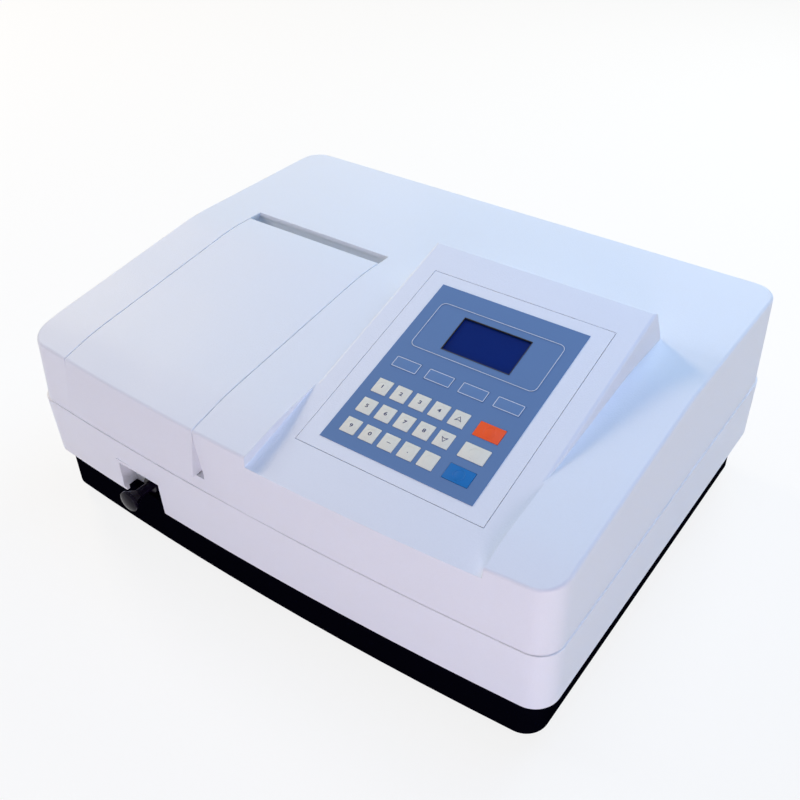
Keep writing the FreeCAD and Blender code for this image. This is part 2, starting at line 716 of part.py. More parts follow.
plate_seat = cut("plate_seat", panel_block(
    "seat_outer", "plate_left - plate_ledge", "plate_start - plate_ledge", "0 - plate_thick - wall",
    "plate_width + 2 * plate_ledge", "plate_length + 2 * plate_ledge", "wall"), [panel_block(
        "seat_inner", "plate_left + plate_ledge", "plate_start + plate_ledge", "0 - plate_thick - wall - 1",
        "plate_width - 2 * plate_ledge", "plate_length - 2 * plate_ledge", "wall + 2")])
vents = []
for number in range(9):
    vents.append(block("vent_" + str(number), "fan_across - fan_size / 2 + 4", "case_depth - 15",
                       "fan_height - 26.5 + 6 * " + str(number), "fan_size - 8", "30", "3.2"))
cover_open = cut("cover_open", joined("cover_walls", [cut("cover_hollow", joined("cover_body", [cover_outer, band]),
                                                          [cover_inner]), scoop_back]), [lid_opening])
opening_sides = [amount_of("left + lid_left"), amount_of("left + lid_right")]
recess_rear_side = amount_of("front + recess_rear")


def opening_rim(edge):
    """True for the outer edges of the lid's opening and of the recess behind it."""
    span = edge.BoundBox
    middle = edge.valueAt((edge.FirstParameter + edge.LastParameter) / 2)
    depth = middle.y - model_front
    slope = (crest_level - nose_level) / (crest_depth - sheet.nose_length)
    level = min(nose_level + slope * (depth - sheet.nose_length), crest_level)
    side = (span.XLength < NEAR / 10 and min(abs(middle.x - end) for end in opening_sides) < NEAR / 10
            and depth > sheet.nose_length / 2 and span.YLength > sheet.wall and abs(middle.z - level) < sheet.wall / 2)
    rear = (span.XLength > sheet.lid_width - NEAR and abs(middle.y - recess_rear_side) < NEAR
            and span.ZMin > crest_level - NEAR)
    return side or rear


cover_rimmed = rounded("cover_rimmed", cover_open, "rim_radius", opening_rim)
cover_shell = cut("cover_shell", cover_rimmed, [scoop, plate_opening] + vents)
fan_seat = cut("fan_seat_ring", block("fan_seat_blank", "fan_across - fan_size / 2", "fan_rear",
                                      "fan_height - fan_size / 2", "fan_size", "fan_seat + wall / 3", "fan_size"),
               [shaft("fan_seat_hole", "fan_across", "fan_rear - 1", "fan_height", "fan_size / 2 - 2", "8", "rear")])
ribs = [block("rib_" + str(number), "lid_left + lid_width / 4 * " + str(number + 1), "recess_rear + 2 * wall",
              "rear_height - 3 * wall", "2", "case_depth - recess_rear - 5 * wall", "2 * wall + 0.5")
        for number in range(3)]
node("upper_cover", joined("upper_cover", [cover_shell, recess_wall, plate_seat, fan_seat] + cheeks + ribs))

# Inset panel plate, membrane overlay, display and keys, all in the panel's own frame

display_hole = panel_block("display_hole", "display_left", "display_start", "0 - 20", "display_width",
                           "display_length", "40")
node("panel_plate", cut("panel_plate", panel_block(
    "plate_blank", "plate_left", "plate_start", "0 - plate_thick", "plate_width", "plate_length", "plate_thick"),
    [panel_block("overlay_bed", "overlay_left", "overlay_start", "overlay_proud - overlay_thick",
                 "overlay_width", "overlay_length", "overlay_thick"), display_hole]))

KEYS = []
names = ["1", "2", "3", "4", "up", "5", "6", "7", "8", "down", "9", "0", "minus", "dot", "blank"]
for number, name in enumerate(names):
    column, row = number % 5, 2 - number // 5
    KEYS.append(("key_" + name, "key_column + key_pitch * " + str(column), "key_row + row_pitch * " + str(row),
                 "key_width", "key_length"))
for row, name in enumerate(["blue", "white", "red"]):
    KEYS.append(("key_wide_" + name, "wide_key_centre", "key_row + row_pitch * " + str(row) + " - wide_key_shift",
                 "wide_key_width", "wide_key_length"))
for column in range(4):
    KEYS.append(("key_mode_" + str(column + 1), "mode_key_column + mode_key_pitch * " + str(column),
                 "mode_key_row", "mode_key_width", "mode_key_length"))

key_holes = []
for name, across, start, width, length in KEYS:
    key_holes.append(panel_block("hole_" + name, across + " - " + width + " / 2 - key_clearance",
                                 start + " - " + length + " / 2 - key_clearance", "0 - 20",
                                 width + " + 2 * key_clearance", length + " + 2 * key_clearance", "40"))
node("panel_overlay", cut("panel_overlay", panel_block(
    "overlay_blank", "overlay_left", "overlay_start", "overlay_proud - overlay_thick", "overlay_width",
    "overlay_length", "overlay_thick"), key_holes + [panel_block(
        "overlay_window", "display_left", "display_start", "0 - 20", "display_width", "display_length", "40")]))
node("lcd_display", joined("lcd_display", [
    panel_block("display_glass", "display_left + 0.2", "display_start + 0.2", "0 - plate_thick - 1",
                "display_width - 0.4", "display_length - 0.4", "plate_thick + 1 + overlay_proud - display_sink"),
    panel_block("display_board", "display_left - 8", "display_start - 8", "0 - plate_thick - display_thick",
                "display_width + 16", "display_length + 16", "display_thick")]))
for name, across, start, width, length in KEYS:
    key = panel_block(name + "_blank", across + " - " + width + " / 2", start + " - " + length + " / 2",
                      "overlay_proud - overlay_thick + key_travel + running_clearance", width, length,
                      "overlay_thick + key_proud - key_travel - running_clearance")
    doc.recompute()
    item = doc.addObject("Part::Fillet", name + "_cap")
    item.Base = key
    item.Edges = [(count, sheet.key_corner, sheet.key_corner) for count, edge in enumerate(key.Shape.Edges, start=1)
                  if abs(edge.Length - key.Height.Value) < 0.01]
    node(name, item)

# Sample lid

def lid_form(name, inset, low):
    """The lid's solid form: the top's side view between the lid's ends, with the flared flap in front."""
    gap = "lid_gap + " + inset
    prism = outline_body(name + "_side", top_outline(inset, "lid_rear - " + inset), "lid_width - 2 * (" + gap + ")",
                         "left + lid_left + " + gap)
    flare_low = "upper_inset + " + drafted("upper_front_draft", "flap_bottom") + " - flap_flare"
    flare_high = "upper_inset + " + drafted("upper_front_draft", "top_front_height")
    rate = "((" + flare_high + ") - (" + flare_low + ")) / (top_front_height - flap_bottom)"
    bow = bind(doc.addObject("Part::Cone", name + "_bow"),
               Radius1="bow_radius - " + inset + " - (" + flare_low + ") - " + rate + " * ((" + low + ") - flap_bottom)",
               Radius2="bow_radius - " + inset + " - (" + flare_low + ") - " + rate + " * (form_top - flap_bottom)",
               Height="form_top - (" + low + ")")
    place(bow, "0", "front + bow_radius", low)
    return common(name, prism, bow)


def lid_front_edge(edge):
    """True for the edge between the lid's top and its flap."""
    span = edge.BoundBox
    return (span.XLength > sheet.lid_width / 2 and span.Center.y - model_front < sheet.nose_length / 2
            and span.ZMin > sheet.top_front_height - NEAR)


lid_sides = [amount_of("left + lid_left + lid_gap"), amount_of("left + lid_right - lid_gap")]
flap_level = amount_of("flap_bottom")
lid_rear_side = amount_of("front + lid_rear")


def lid_side_edge(edge):
    """True for the edges along the top and the flap at the lid's two sides."""
    span = edge.BoundBox
    on_side = span.XLength < NEAR / 10 and min(abs(span.Center.x - side) for side in lid_sides) < NEAR / 10
    return (on_side and span.YMin < lid_rear_side - NEAR and span.ZMax > flap_level + NEAR
            and span.YLength < sheet.lid_rear - NEAR)


lid_outer = rounded("lid_creased", lid_form("lid_outer", "0", "flap_bottom"), "crease_radius", crease)
lid_outer = rounded("lid_edged", lid_outer, "top_edge_radius", lid_front_edge)
lid_outer = rounded("lid_softened", lid_outer, "lid_edge_radius", lid_side_edge)
lid_inner = lid_form("lid_inner", "lid_thick", "flap_bottom - 5")
skirt_cut = outline_body("lid_skirt_cut", [
    ("flap_room", "flap_bottom - 5"), ("lid_rear + 5", "flap_bottom - 5"), ("lid_rear + 5", "crest_height - lid_skirt"),
    ("crest_depth", "crest_height - lid_skirt"), ("nose_length", "nose_height - lid_skirt"),
    ("flap_room", "top_front_height - lid_skirt")], "lid_width", "left + lid_left")
lug_pieces = []
lug_bores = []
for side, across in (("left", "lid_left + hinge_inset"), ("right", "lid_right - hinge_inset - lug_thick")):
    lug_pieces.append(block("lug_" + side, across, "hinge_depth - hinge_hub_radius", "hinge_height", "lug_thick",
                            "2 * hinge_hub_radius", "crest_height - hinge_height - 1"))
    lug_pieces.append(shaft("hub_" + side, across, "hinge_depth", "hinge_height", "hinge_hub_radius", "lug_thick",
                            "right"))
    lug_bores.append(shaft("lug_bore_" + side, across + " - 1", "hinge_depth", "hinge_height",
                           "hinge_pin_radius + running_clearance", "lug_thick + 2", "right"))
node("sample_lid", cut("sample_lid", joined("lid_with_lugs", [cut("lid_shell", lid_outer, [lid_inner, skirt_cut])]
                                            + lug_pieces), lug_bores))
brackets = []
for side, across, pin in (("left", "lid_left + hinge_inset + lug_thick + 1", "lid_left + hinge_inset - 1"),
                          ("right", "lid_right - hinge_inset - lug_thick - 4",
                           "lid_right - hinge_inset - lug_thick - 4")):
    brackets.append(joined("bracket_" + side, [
        block("bracket_plate_" + side, across, "chamber_rear + chamber_wall", "hinge_height - 46", "3",
              "hinge_depth - chamber_rear - chamber_wall", "46 + bracket_hub_radius"),
        shaft("bracket_hub_" + side, across, "hinge_depth", "hinge_height", "bracket_hub_radius", "3", "right"),
        shaft("hinge_pin_" + side, pin, "hinge_depth", "hinge_height", "hinge_pin_radius", "lug_thick + 5",
              "right")]))
node("hinge_brackets", group("hinge_brackets", brackets))

# Optical bench, a cast plate on short pillars

PILLARS = [("bench_left + pillar_inset", "chamber_front + 2 * pillar_inset"),
           ("bench_left + pillar_inset", "hinge_depth - pillar_inset"),
           ("mono_left", "chamber_front + pillar_inset"), ("mono_right - pillar_inset", "chamber_front + pillar_inset"),
           ("mono_right - pillar_inset", "mono_rear - pillar_inset"),
           ("lamp_left + pillar_inset", "lamp_rear - pillar_inset"),
           ("lamp_left + lamp_width - pillar_inset", "lamp_rear - pillar_inset")]
pillars = [shaft("pillar_" + str(number), across, depth, "pan_floor_top", "pillar_radius",
                 "bench_bottom - pan_floor_top + 1") for number, (across, depth) in enumerate(PILLARS)]
node("optical_bench", joined("optical_bench", [
    block("bench_chamber", "bench_left", "chamber_front", "bench_bottom", "mono_left - bench_left",
          "hinge_depth - chamber_front", "bench_thick"),
    block("bench_mono", "mono_left - 1", "chamber_front", "bench_bottom", "mono_width + 1 + wall",
          "mono_rear + bench_rim - chamber_front", "bench_thick"),
    block("bench_lamp", "mono_left", "mono_rear", "bench_bottom", "lamp_left + lamp_width + bench_rim - mono_left",
          "lamp_rear - mono_rear", "bench_thick")] + pillars))

# Sample chamber, a black box that the lid closes

chamber_blank = block("chamber_blank", "chamber_left", "chamber_front", "bench_top", "chamber_width",
                      "chamber_rear + chamber_wall - chamber_front", "form_top - bench_top")
chamber_limit = outline_body("chamber_limit", top_outline("wall + chamber_clearance"), "case_width")
chamber_well = block("chamber_well", "lid_left - chamber_clearance", "chamber_front + chamber_wall",
                     "chamber_floor + chamber_wall", "lid_width + 2 * chamber_clearance",
                     "chamber_rear - chamber_front - chamber_wall", "200")
chamber_foot = block("chamber_foot", "lid_left - chamber_clearance", "chamber_front + chamber_wall",
                     "bench_top - 1", "lid_width + 2 * chamber_clearance",
                     "chamber_rear - chamber_front - chamber_wall", "chamber_floor - bench_top + 1")
chamber_rim = block("chamber_rim", "chamber_left", "flap_room", "flap_bottom - 5.5", "chamber_width",
                    "chamber_front + 1 - flap_room", "chamber_wall")
front_drop = block("front_drop", "lid_left - chamber_clearance", "chamber_front - 1", "top_front_height - lid_skirt - 2",
                   "lid_width + 2 * chamber_clearance", "chamber_wall + 4", "60")
rear_drop = block("rear_drop", "lid_left - 10", "chamber_rear - 1", "hinge_height - 22", "lid_width + 20", "20", "60")
window_holes = [
    shaft("window_hole_left", "lid_left - 10", "beam_depth", "beam_height", "window_radius",
          "20", "right"),
    shaft("window_hole_right", "lid_right - 10", "beam_depth", "beam_height",
          "window_radius", "20", "right")]
rod_hole = shaft("chamber_rod_hole", "rod_across", "chamber_front - 5", "rod_height", "rod_radius + 1",
                 "chamber_wall + 10", "rear")
rail_seats = [shaft("rail_seat_" + side, "rod_across " + sign + " rail_spread / 2", "chamber_front - 1", "rod_height",
                    "rail_radius", "chamber_wall + 2", "rear") for side, sign in (("left", "-"), ("right", "+"))]
rail_block = block("rail_block", "rod_across - carriage_width / 2", "chamber_rear - 25", "chamber_floor + 1",
                   "carriage_width", "8", "rod_height + 8 - chamber_floor")
rail_bores = [shaft("rail_bore_" + side, "rod_across " + sign + " rail_spread / 2", "chamber_rear - 26",
                    "rod_height", "rail_radius", "10", "rear") for side, sign in (("left", "-"), ("right", "+"))]
node("sample_chamber", cut("sample_chamber", joined("chamber_body", [
    cut("chamber_box", common("chamber_cut", chamber_blank, chamber_limit), [chamber_well, chamber_foot, rear_drop, front_drop]),
    chamber_rim, rail_block]), window_holes + [rod_hole] + rail_seats + rail_bores))
node("chamber_windows", group("chamber_windows", [
    shaft("window_left", "chamber_left", "beam_depth", "beam_height",
          "window_radius", "chamber_wall", "right"),
    shaft("window_right", "lid_right + chamber_clearance", "beam_depth", "beam_height",
          "window_radius", "chamber_wall", "right")]))

# Sample changer: four cells in a carriage on two rails, moved by the knob in front

carriage_blank = block("carriage_blank", "rod_across - carriage_width / 2", "carriage_front", "rod_height - 6",
                       "carriage_width", "carriage_length", "cell_floor - rod_height + 6")
carriage_tower = block("carriage_tower", "rod_across - cell_size / 2 - cell_wall", "carriage_front",
                       "cell_floor - 1", "cell_size + 2 * cell_wall", "carriage_length", "cell_top - cell_floor + 1")
carriage_cuts = []
for number in range(4):
    start = "beam_depth - cell_size / 2 + cell_pitch * " + str(number)
    carriage_cuts.append(block("cell_" + str(number), "rod_across - cell_size / 2", start, "cell_floor",
                               "cell_size", "cell_size", "60"))
    carriage_cuts.append(shaft("cell_beam_" + str(number), "rod_across - 20",
                               "beam_depth + cell_pitch * " + str(number), "beam_height", "3.5", "40", "right"))
for side, sign in (("left", "-"), ("right", "+")):
    carriage_cuts.append(shaft("slide_bore_" + side, "rod_across " + sign + " rail_spread / 2", "carriage_front - 1",
                               "rod_height", "rail_radius + running_clearance", "carriage_length + 2", "rear"))
node("cell_carriage", cut("cell_carriage", joined("carriage_body", [carriage_blank, carriage_tower]), carriage_cuts))
node("carriage_rails", group("carriage_rails", [
    shaft("rail_" + side, "rod_across " + sign + " rail_spread / 2", "chamber_front", "rod_height", "rail_radius",
          "chamber_rear - 17 - chamber_front", "rear") for side, sign in (("left", "-"), ("right", "+"))]))
node("changer_rod", shaft("changer_rod", "rod_across", "11 - knob_reach", "rod_height", "rod_radius",
                          "carriage_front - 11 + knob_reach", "rear"))
knob_face = common("knob_face", shaft("knob_blank", "rod_across", "0 - knob_reach", "rod_height", "knob_radius",
                                      "knob_dome + knob_rim", "rear"),
                   bind(place(doc.addObject("Part::Sphere", "knob_ball"), "left + rod_across",
                              "front - knob_reach + knob_dome_radius", "rod_height"), Radius="knob_dome_radius"))
knob_cone = shaft("knob_cone", "rod_across", "knob_dome + knob_rim - knob_reach - 0.5", "rod_height",
                  "knob_radius - 1", "11 - knob_dome - knob_rim + 0.5", "rear", "rod_radius + 1")
node("pull_knob", joined("pull_knob", [knob_face, knob_cone]))
node("rod_bush", cut("rod_bush", joined("bush_body", [
    shaft("bush_flange", "rod_across", "notch_rear - bush_length / 2", "rod_height", "bush_radius - 1",
          "bush_length / 2", "rear", "bush_radius"),
    shaft("bush_sleeve", "rod_across", "notch_rear - 1", "rod_height", "bush_radius - 2", "wall + 3", "rear")]),
    [shaft("bush_bore", "rod_across", "notch_rear - 10", "rod_height", "rod_radius + running_clearance", "30",
           "rear")]))

# Monochromator: a cast housing with its slits, mirrors and turning grating

mono_box = block("mono_box", "mono_left", "mono_front", "bench_top", "mono_width", "mono_depth", "mono_height")
mono_well = block("mono_well", "mono_left + mono_wall", "mono_front + mono_wall", "mono_floor_top",
                  "mono_width - 2 * mono_wall", "mono_depth - 2 * mono_wall", "mono_height")
exit_hole = shaft("exit_hole", "mono_left - 5", "beam_depth", "beam_height", "6", "mono_wall + 10", "right")
entrance_hole = shaft("entrance_hole", "slit_across", "mono_rear - mono_wall - 5", "beam_height",
                      "6", "mono_wall + 10", "rear")


def upright_edge(edge):
    """True for the upright edges of a box."""
    span = edge.BoundBox
    return span.ZLength > 20 and span.XLength < 0.01 and span.YLength < 0.01


node("monochromator_housing", cut("monochromator_housing", rounded("mono_rounded", mono_box, "mono_wall", upright_edge),
                                  [mono_well, exit_hole, entrance_hole]))
mono_plate = block("mono_plate", "mono_left", "mono_front", "mono_top", "mono_width", "mono_depth", "mono_lid_thick")
mono_rim = block("mono_rim", "mono_left + mono_wall + 0.5", "mono_front + mono_wall + 0.5", "mono_top - 4",
                 "mono_width - 2 * mono_wall - 1", "mono_depth - 2 * mono_wall - 1", "5")
mono_rim_well = block("mono_rim_well", "mono_left + mono_wall + 3.5", "mono_front + mono_wall + 3.5",
                      "mono_top - 5", "mono_width - 2 * mono_wall - 7", "mono_depth - 2 * mono_wall - 7", "5")
node("monochromator_cover", cut("monochromator_cover", joined("mono_cover_body", [
    rounded("mono_plate_rounded", mono_plate, "mono_wall", lambda edge: edge.BoundBox.ZLength > 4), mono_rim]),
    [mono_rim_well]))
slits = []
for name, across, depth, beside in (
        ("exit_slit", "mono_left + mono_wall", "beam_depth - slit_plate / 2", True),
        ("entrance_slit", "slit_across - slit_plate / 2", "mono_rear - mono_wall - slit_thick", False)):
    plate_size = ("slit_thick", "slit_plate") if beside else ("slit_plate", "slit_thick")
    gap_size = ("slit_thick + 2", "slit_opening") if beside else ("slit_opening", "slit_thick + 2")
    middle = " + slit_plate / 2 - slit_opening / 2"
    gap_place = (across + " - 1", depth + middle) if beside else (across + middle, depth + " - 1")
    slits.append(cut(name, block(name + "_plate", across, depth, "beam_height - slit_plate / 2", *plate_size,
                                 "slit_plate"),
                     [block(name + "_gap", *gap_place, "beam_height - slit_height / 2", *gap_size, "slit_height")]))
node("slit_plates", group("slit_plates", slits))
mirrors = []
for name, depth in (("collimator", "mono_front + collimator_inset"), ("camera", "mono_front + camera_inset")):
    mirrors.append(joined(name + "_mirror", [
        shaft(name + "_disc", "mono_right - mono_wall - mirror_thick - 6", depth, "beam_height", "mirror_radius",
              "mirror_thick", "right"),
        block(name + "_foot", "mono_right - mono_wall - mirror_thick - 4", depth + " - mirror_radius * 0.6",
              "mono_floor_top", "mirror_thick + 2", "mirror_radius * 1.2",
              "beam_height - mono_floor_top - mirror_radius * 0.6")]))
node("mono_mirrors", group("mono_mirrors", mirrors))
node("grating_table", joined("grating_table", [
    shaft("grating_shaft", "grating_across", "grating_depth", "mono_floor_top + motor_height - 8", "shaft_radius",
          "11"),
    shaft("grating_disc", "grating_across", "grating_depth", "grating_table_floor", "grating_table_radius",
          "grating_table_thick"),
    block("grating_rest", "grating_across + grating_thick / 2", "grating_depth - grating_size / 2",
          "grating_table_floor + grating_table_thick - 1", "grating_table_thick", "grating_size",
          "grating_size - 4")]))
node("diffraction_grating", block("diffraction_grating", "grating_across - grating_thick / 2",
                                  "grating_depth - grating_size / 2", "grating_table_floor + grating_table_thick",
                                  "grating_thick", "grating_size", "grating_size"))

# Light source: two lamps in a ventilated housing, with a mirror that turns to either

lamp_box = block("lamp_box", "lamp_left", "lamp_front", "bench_top", "lamp_width", "lamp_depth", "lamp_height")
lamp_well = block("lamp_well", "lamp_left + lamp_wall", "lamp_front + lamp_wall", "lamp_floor_top",
                  "lamp_width - 2 * lamp_wall", "lamp_depth - 2 * lamp_wall", "lamp_height - 2 * lamp_wall")
lamp_port = shaft("lamp_port", "slit_across", "lamp_front - 5", "beam_height", "7", "lamp_wall + 10", "rear")
lamp_slots = [block("lamp_slot_" + str(number), "lamp_left + 14 + 14 * " + str(number), "lamp_front + 20",
                    "bench_top + lamp_height - lamp_wall - 1", "6", "lamp_depth - 40", "lamp_wall + 2")
              for number in range(7)]
node("lamp_housing", cut("lamp_housing", lamp_box, [lamp_well, lamp_port] + lamp_slots))
node("tungsten_lamp", joined("tungsten_lamp", [
    shaft("tungsten_base", "slit_across - lamp_spread", "source_depth", "lamp_floor_top", "9", "26"),
    shaft("tungsten_collar", "slit_across - lamp_spread", "source_depth", "lamp_floor_top + 25", "6.5", "8"),
    shaft("tungsten_bulb", "slit_across - lamp_spread", "source_depth", "lamp_floor_top + 32", "5.5", "24"),
    bind(place(doc.addObject("Part::Sphere", "tungsten_tip"), "left + slit_across - lamp_spread",
               "front + source_depth", "lamp_floor_top + 56"), Radius="5.5")]))
node("deuterium_lamp", joined("deuterium_lamp", [
    shaft("deuterium_flange", "slit_across + lamp_spread", "source_depth", "lamp_floor_top", "17", "6"),
    shaft("deuterium_base", "slit_across + lamp_spread", "source_depth", "lamp_floor_top + 5", "12", "16"),
    shaft("deuterium_bulb", "slit_across + lamp_spread", "source_depth", "lamp_floor_top + 20", "14", "50"),
    bind(place(doc.addObject("Part::Sphere", "deuterium_tip"), "left + slit_across + lamp_spread",
               "front + source_depth", "lamp_floor_top + 68"), Radius="13.8")]))
mirror_face = bind(doc.addObject("Part::Box", "mirror_face"), Length="24", Width="3", Height="26")
mirror_face.Placement = Placement(Vector(), Rotation(Vector(0, 0, 1), -45))
place(mirror_face, "left + slit_across - 8.5", "front + source_depth + 8.5", "beam_height - 13")
node("source_mirror", joined("source_mirror", [
    shaft("mirror_shaft", "slit_across", "source_depth", "lamp_floor_top + motor_height - 8", "shaft_radius", "12"),
    shaft("mirror_hub", "slit_across", "source_depth", "lamp_floor_top + motor_height + 3", "6",
          "beam_height - 12 - lamp_floor_top - motor_height - 3"), mirror_face]))
wheel_holes = []
for number in range(6):
    turn = str(60 * number + 180)
    wheel_holes.append(shaft("filter_hole_" + str(number),
                             "wheel_across + wheel_pitch_radius * cos(" + turn + ")", "wheel_depth - 5",
                             "beam_height + wheel_pitch_radius * sin(" + turn + ")", "wheel_hole_radius", "20", "rear"))
node("filter_wheel", cut("filter_wheel", joined("wheel_body", [
    shaft("wheel_disc", "wheel_across", "wheel_depth", "beam_height", "wheel_radius", "wheel_thick", "rear"),
    shaft("wheel_hub", "wheel_across", "wheel_depth - 2", "beam_height", "5", "wheel_thick + 3.7", "rear"),
    shaft("wheel_shaft", "wheel_across", "wheel_depth", "beam_height", "shaft_radius", "wheel_thick + 9", "rear")]),
    wheel_holes))
MOTORS = [("grating", "grating_across", "grating_depth", "mono_floor_top", "motor_radius", "motor_height", "up"),
          ("mirror", "slit_across", "source_depth", "lamp_floor_top", "motor_radius", "motor_height", "up"),
          ("filter", "wheel_across", "wheel_depth + wheel_thick + 2", "beam_height", "8",
           "lamp_front - wheel_depth - wheel_thick - 2", "rear")]
motors = []
for name, across, depth, height, radius, length, towards in MOTORS:
    base = height + " + " + length + " - 9" if towards == "up" else height
    motors.append(cut(name + "_motor", shaft(name + "_can", across, depth, height, radius, length, towards), [
        shaft(name + "_bore", across, depth if towards == "up" else depth + " - 1", base,
              "shaft_radius + running_clearance", "12", towards)]))
node("drive_motors", group("drive_motors", motors))

# Photodiode detector, on the other side of the chamber

detector_hole = shaft("detector_hole", "detector_left - 2", "beam_depth", "beam_height", "window_radius - 2",
                      "detector_thick + 4", "right")
node("photodetector", cut("photodetector", joined("detector_body", [
    block("detector_box", "detector_left", "beam_depth - detector_size / 2", "beam_height - detector_size / 2",
          "detector_thick", "detector_size", "detector_size"),
    block("detector_leg", "detector_left + 4", "beam_depth - detector_size / 3", "bench_top", "detector_thick - 8",
          "detector_size / 1.5", "beam_height - detector_size / 2 + 1 - bench_top")]),
    [detector_hole]))

# Electrics

parts = [block("board_sheet_blank", "board_left", "board_front", "pan_floor_top + board_standoff", "board_width",
               "board_depth", "board_sheet")]
for number, (across, depth) in enumerate([("8", "8"), ("board_width - 8", "8"), ("8", "board_depth - 8"),
                                          ("board_width - 8", "board_depth - 8")]):
    parts.append(shaft("board_post_" + str(number), "board_left + " + across, "board_front + " + depth,
                       "pan_floor_top", "4", "board_standoff + 0.5"))
CHIPS = [("60", "30", "24", "24", "3"), ("100", "24", "18", "30", "3"), ("20", "20", "30", "10", "9"),
         ("20", "40", "30", "10", "9"), ("125", "10", "22", "14", "12"), ("70", "board_depth - 22", "40", "9", "10")]
for number, (across, depth, width, length, rise) in enumerate(CHIPS):
    parts.append(block("board_chip_" + str(number), "board_left + " + across, "board_front + " + depth,
                       "board_top - 0.1", width, length, rise))
for number in range(4):
    parts.append(shaft("board_capacitor_" + str(number), "board_left + 118 + 11 * " + str(number),
                       "board_front + board_depth - 20", "board_top - 0.1", "4.5", "14"))
node("main_board", joined("main_board", parts))
supply_box = block("supply_box", "supply_left", "supply_front", "pan_floor_top", "supply_width", "supply_depth",
                   "supply_height")
supply_hollow = block("supply_hollow", "supply_left + supply_wall", "supply_front + supply_wall",
                      "pan_floor_top + supply_wall", "supply_width - 2 * supply_wall",
                      "supply_depth - 2 * supply_wall", "supply_height - 2 * supply_wall")
supply_slots = [block("supply_slot_" + str(number), "supply_left + 8", "supply_front + 16 + 11 * " + str(number),
                      "pan_floor_top + supply_height - supply_wall - 1", "supply_width - 16", "5", "supply_wall + 2")
                for number in range(12)]
supply_core = block("supply_core", "supply_left + 10", "supply_front + supply_depth / 3",
                    "pan_floor_top + supply_wall / 2", "supply_width - 20", "supply_depth / 3", "supply_height - 16")
node("power_supply", joined("power_supply", [
    cut("supply_case", supply_box, [supply_hollow] + supply_slots), supply_core]))
fan_blank = block("fan_blank", "fan_across - fan_size / 2", "fan_rear - fan_thick", "fan_height - fan_size / 2",
                  "fan_size", "fan_thick", "fan_size")
fan_hole = shaft("fan_hole", "fan_across", "fan_rear - fan_thick - 1", "fan_height", "fan_size / 2 - 1.5",
                 "fan_thick + 2", "rear")
fan_spider = shaft("fan_spider", "fan_across", "fan_rear - 3", "fan_height", "14", "3", "rear")
spokes = [block("spoke_level", "fan_across - fan_size / 2 + 1", "fan_rear - 3", "fan_height - 2", "fan_size - 2",
                "3", "4"),
          shaft("fan_pin", "fan_across", "fan_rear - 9", "fan_height", "shaft_radius", "7", "rear"),
          block("spoke_upright", "fan_across - 2", "fan_rear - 3", "fan_height - fan_size / 2 + 1", "4", "3",
                "fan_size - 2")]
node("fan_frame", joined("fan_frame", [cut("fan_ring", fan_blank, [fan_hole]), fan_spider] + spokes))
blades = [shaft("fan_hub", "fan_across", "fan_rear - fan_thick + 1", "fan_height", "12", "fan_thick - 4.5",
                "rear")]
for number in range(7):
    blade = bind(doc.addObject("Part::Box", "blade_" + str(number)), Length="fan_size / 2 - 3 - 10", Width="1.2",
                 Height="9")
    turn = Rotation(Vector(0, 1, 0), 360 / 7 * number)
    blade.Placement = Placement(Vector(), turn * Rotation(Vector(1, 0, 0), 45))
    offset = turn.multVec(Vector(10, 2.76, -3.61))
    place(blade, "left + fan_across + " + str(round(offset.x, 4)),
          "front + fan_rear - fan_thick / 2 + " + str(round(offset.y, 4)),
          "fan_height + " + str(round(offset.z, 4)))
    blades.append(blade)
fan_bore = shaft("fan_bore", "fan_across", "fan_rear - 10", "fan_height", "shaft_radius + running_clearance", "9",
                 "rear")
node("fan_rotor", cut("fan_rotor", joined("fan_blades", blades), [fan_bore]))
inlet_body = block("inlet_body", "inlet_across - inlet_width / 2 + 0.2", "case_depth - inlet_reach",
                   "inlet_level - inlet_height / 2 + 0.2", "inlet_width - 0.4", "inlet_reach + 1",
                   "inlet_height - 0.4")
inlet_flange = block("inlet_flange", "inlet_across - inlet_width / 2 - 3", "case_depth",
                     "inlet_level - inlet_height / 2 - 3", "inlet_width + 6", "inlet_flange", "inlet_height + 6")
inlet_cavity = block("inlet_cavity", "inlet_across - 1", "case_depth - 16", "inlet_level - 8.5", "24", "30", "17")
rocker_well = block("rocker_well", "inlet_across - 20", "case_depth - 14", "inlet_level - rocker_length / 2 - 0.9",
                    "rocker_width + 0.8", "30", "rocker_length + 1.8")
pivot_bore = shaft("pivot_bore", "inlet_across - 21.5", "case_depth - rocker_sink", "inlet_level",
                   "pivot_radius + running_clearance", "rocker_width + 3.8", "right")
pins = [block("inlet_pin_" + str(number), "inlet_across + 5 + 5 * " + str(number), "case_depth - 17",
              "inlet_level - 3.2 + 4 * " + str(number % 2), "2", "14", "4") for number in range(3)]
node("mains_inlet", joined("mains_inlet", [cut("inlet_shell", joined("inlet_blank", [inlet_body, inlet_flange]),
                                               [inlet_cavity, rocker_well, pivot_bore])] + pins))
rocker = bind(doc.addObject("Part::Box", "rocker_cap"), Length="rocker_width", Width="rocker_thick",
              Height="rocker_length")
place(rocker, "left + inlet_across - 19.6",
      "front + case_depth - rocker_sink - rocker_thick / 2 * cos(rocker_tilt) + rocker_length / 2 * sin(rocker_tilt)",
      "inlet_level - rocker_thick / 2 * sin(rocker_tilt) - rocker_length / 2 * cos(rocker_tilt)",
      Vector(1, 0, 0), "rocker_tilt")
pivot = shaft("rocker_pivot", "inlet_across - 21", "case_depth - rocker_sink", "inlet_level", "pivot_radius",
              "rocker_width + 2.8", "right")
node("power_rocker", joined("power_rocker", [rocker, pivot]))
socket_parts = [block("socket_board", "socket_across - 22", "case_depth - wall - 2", "inlet_level - 10", "94", "2",
                      "20")]
socket_cavities = []
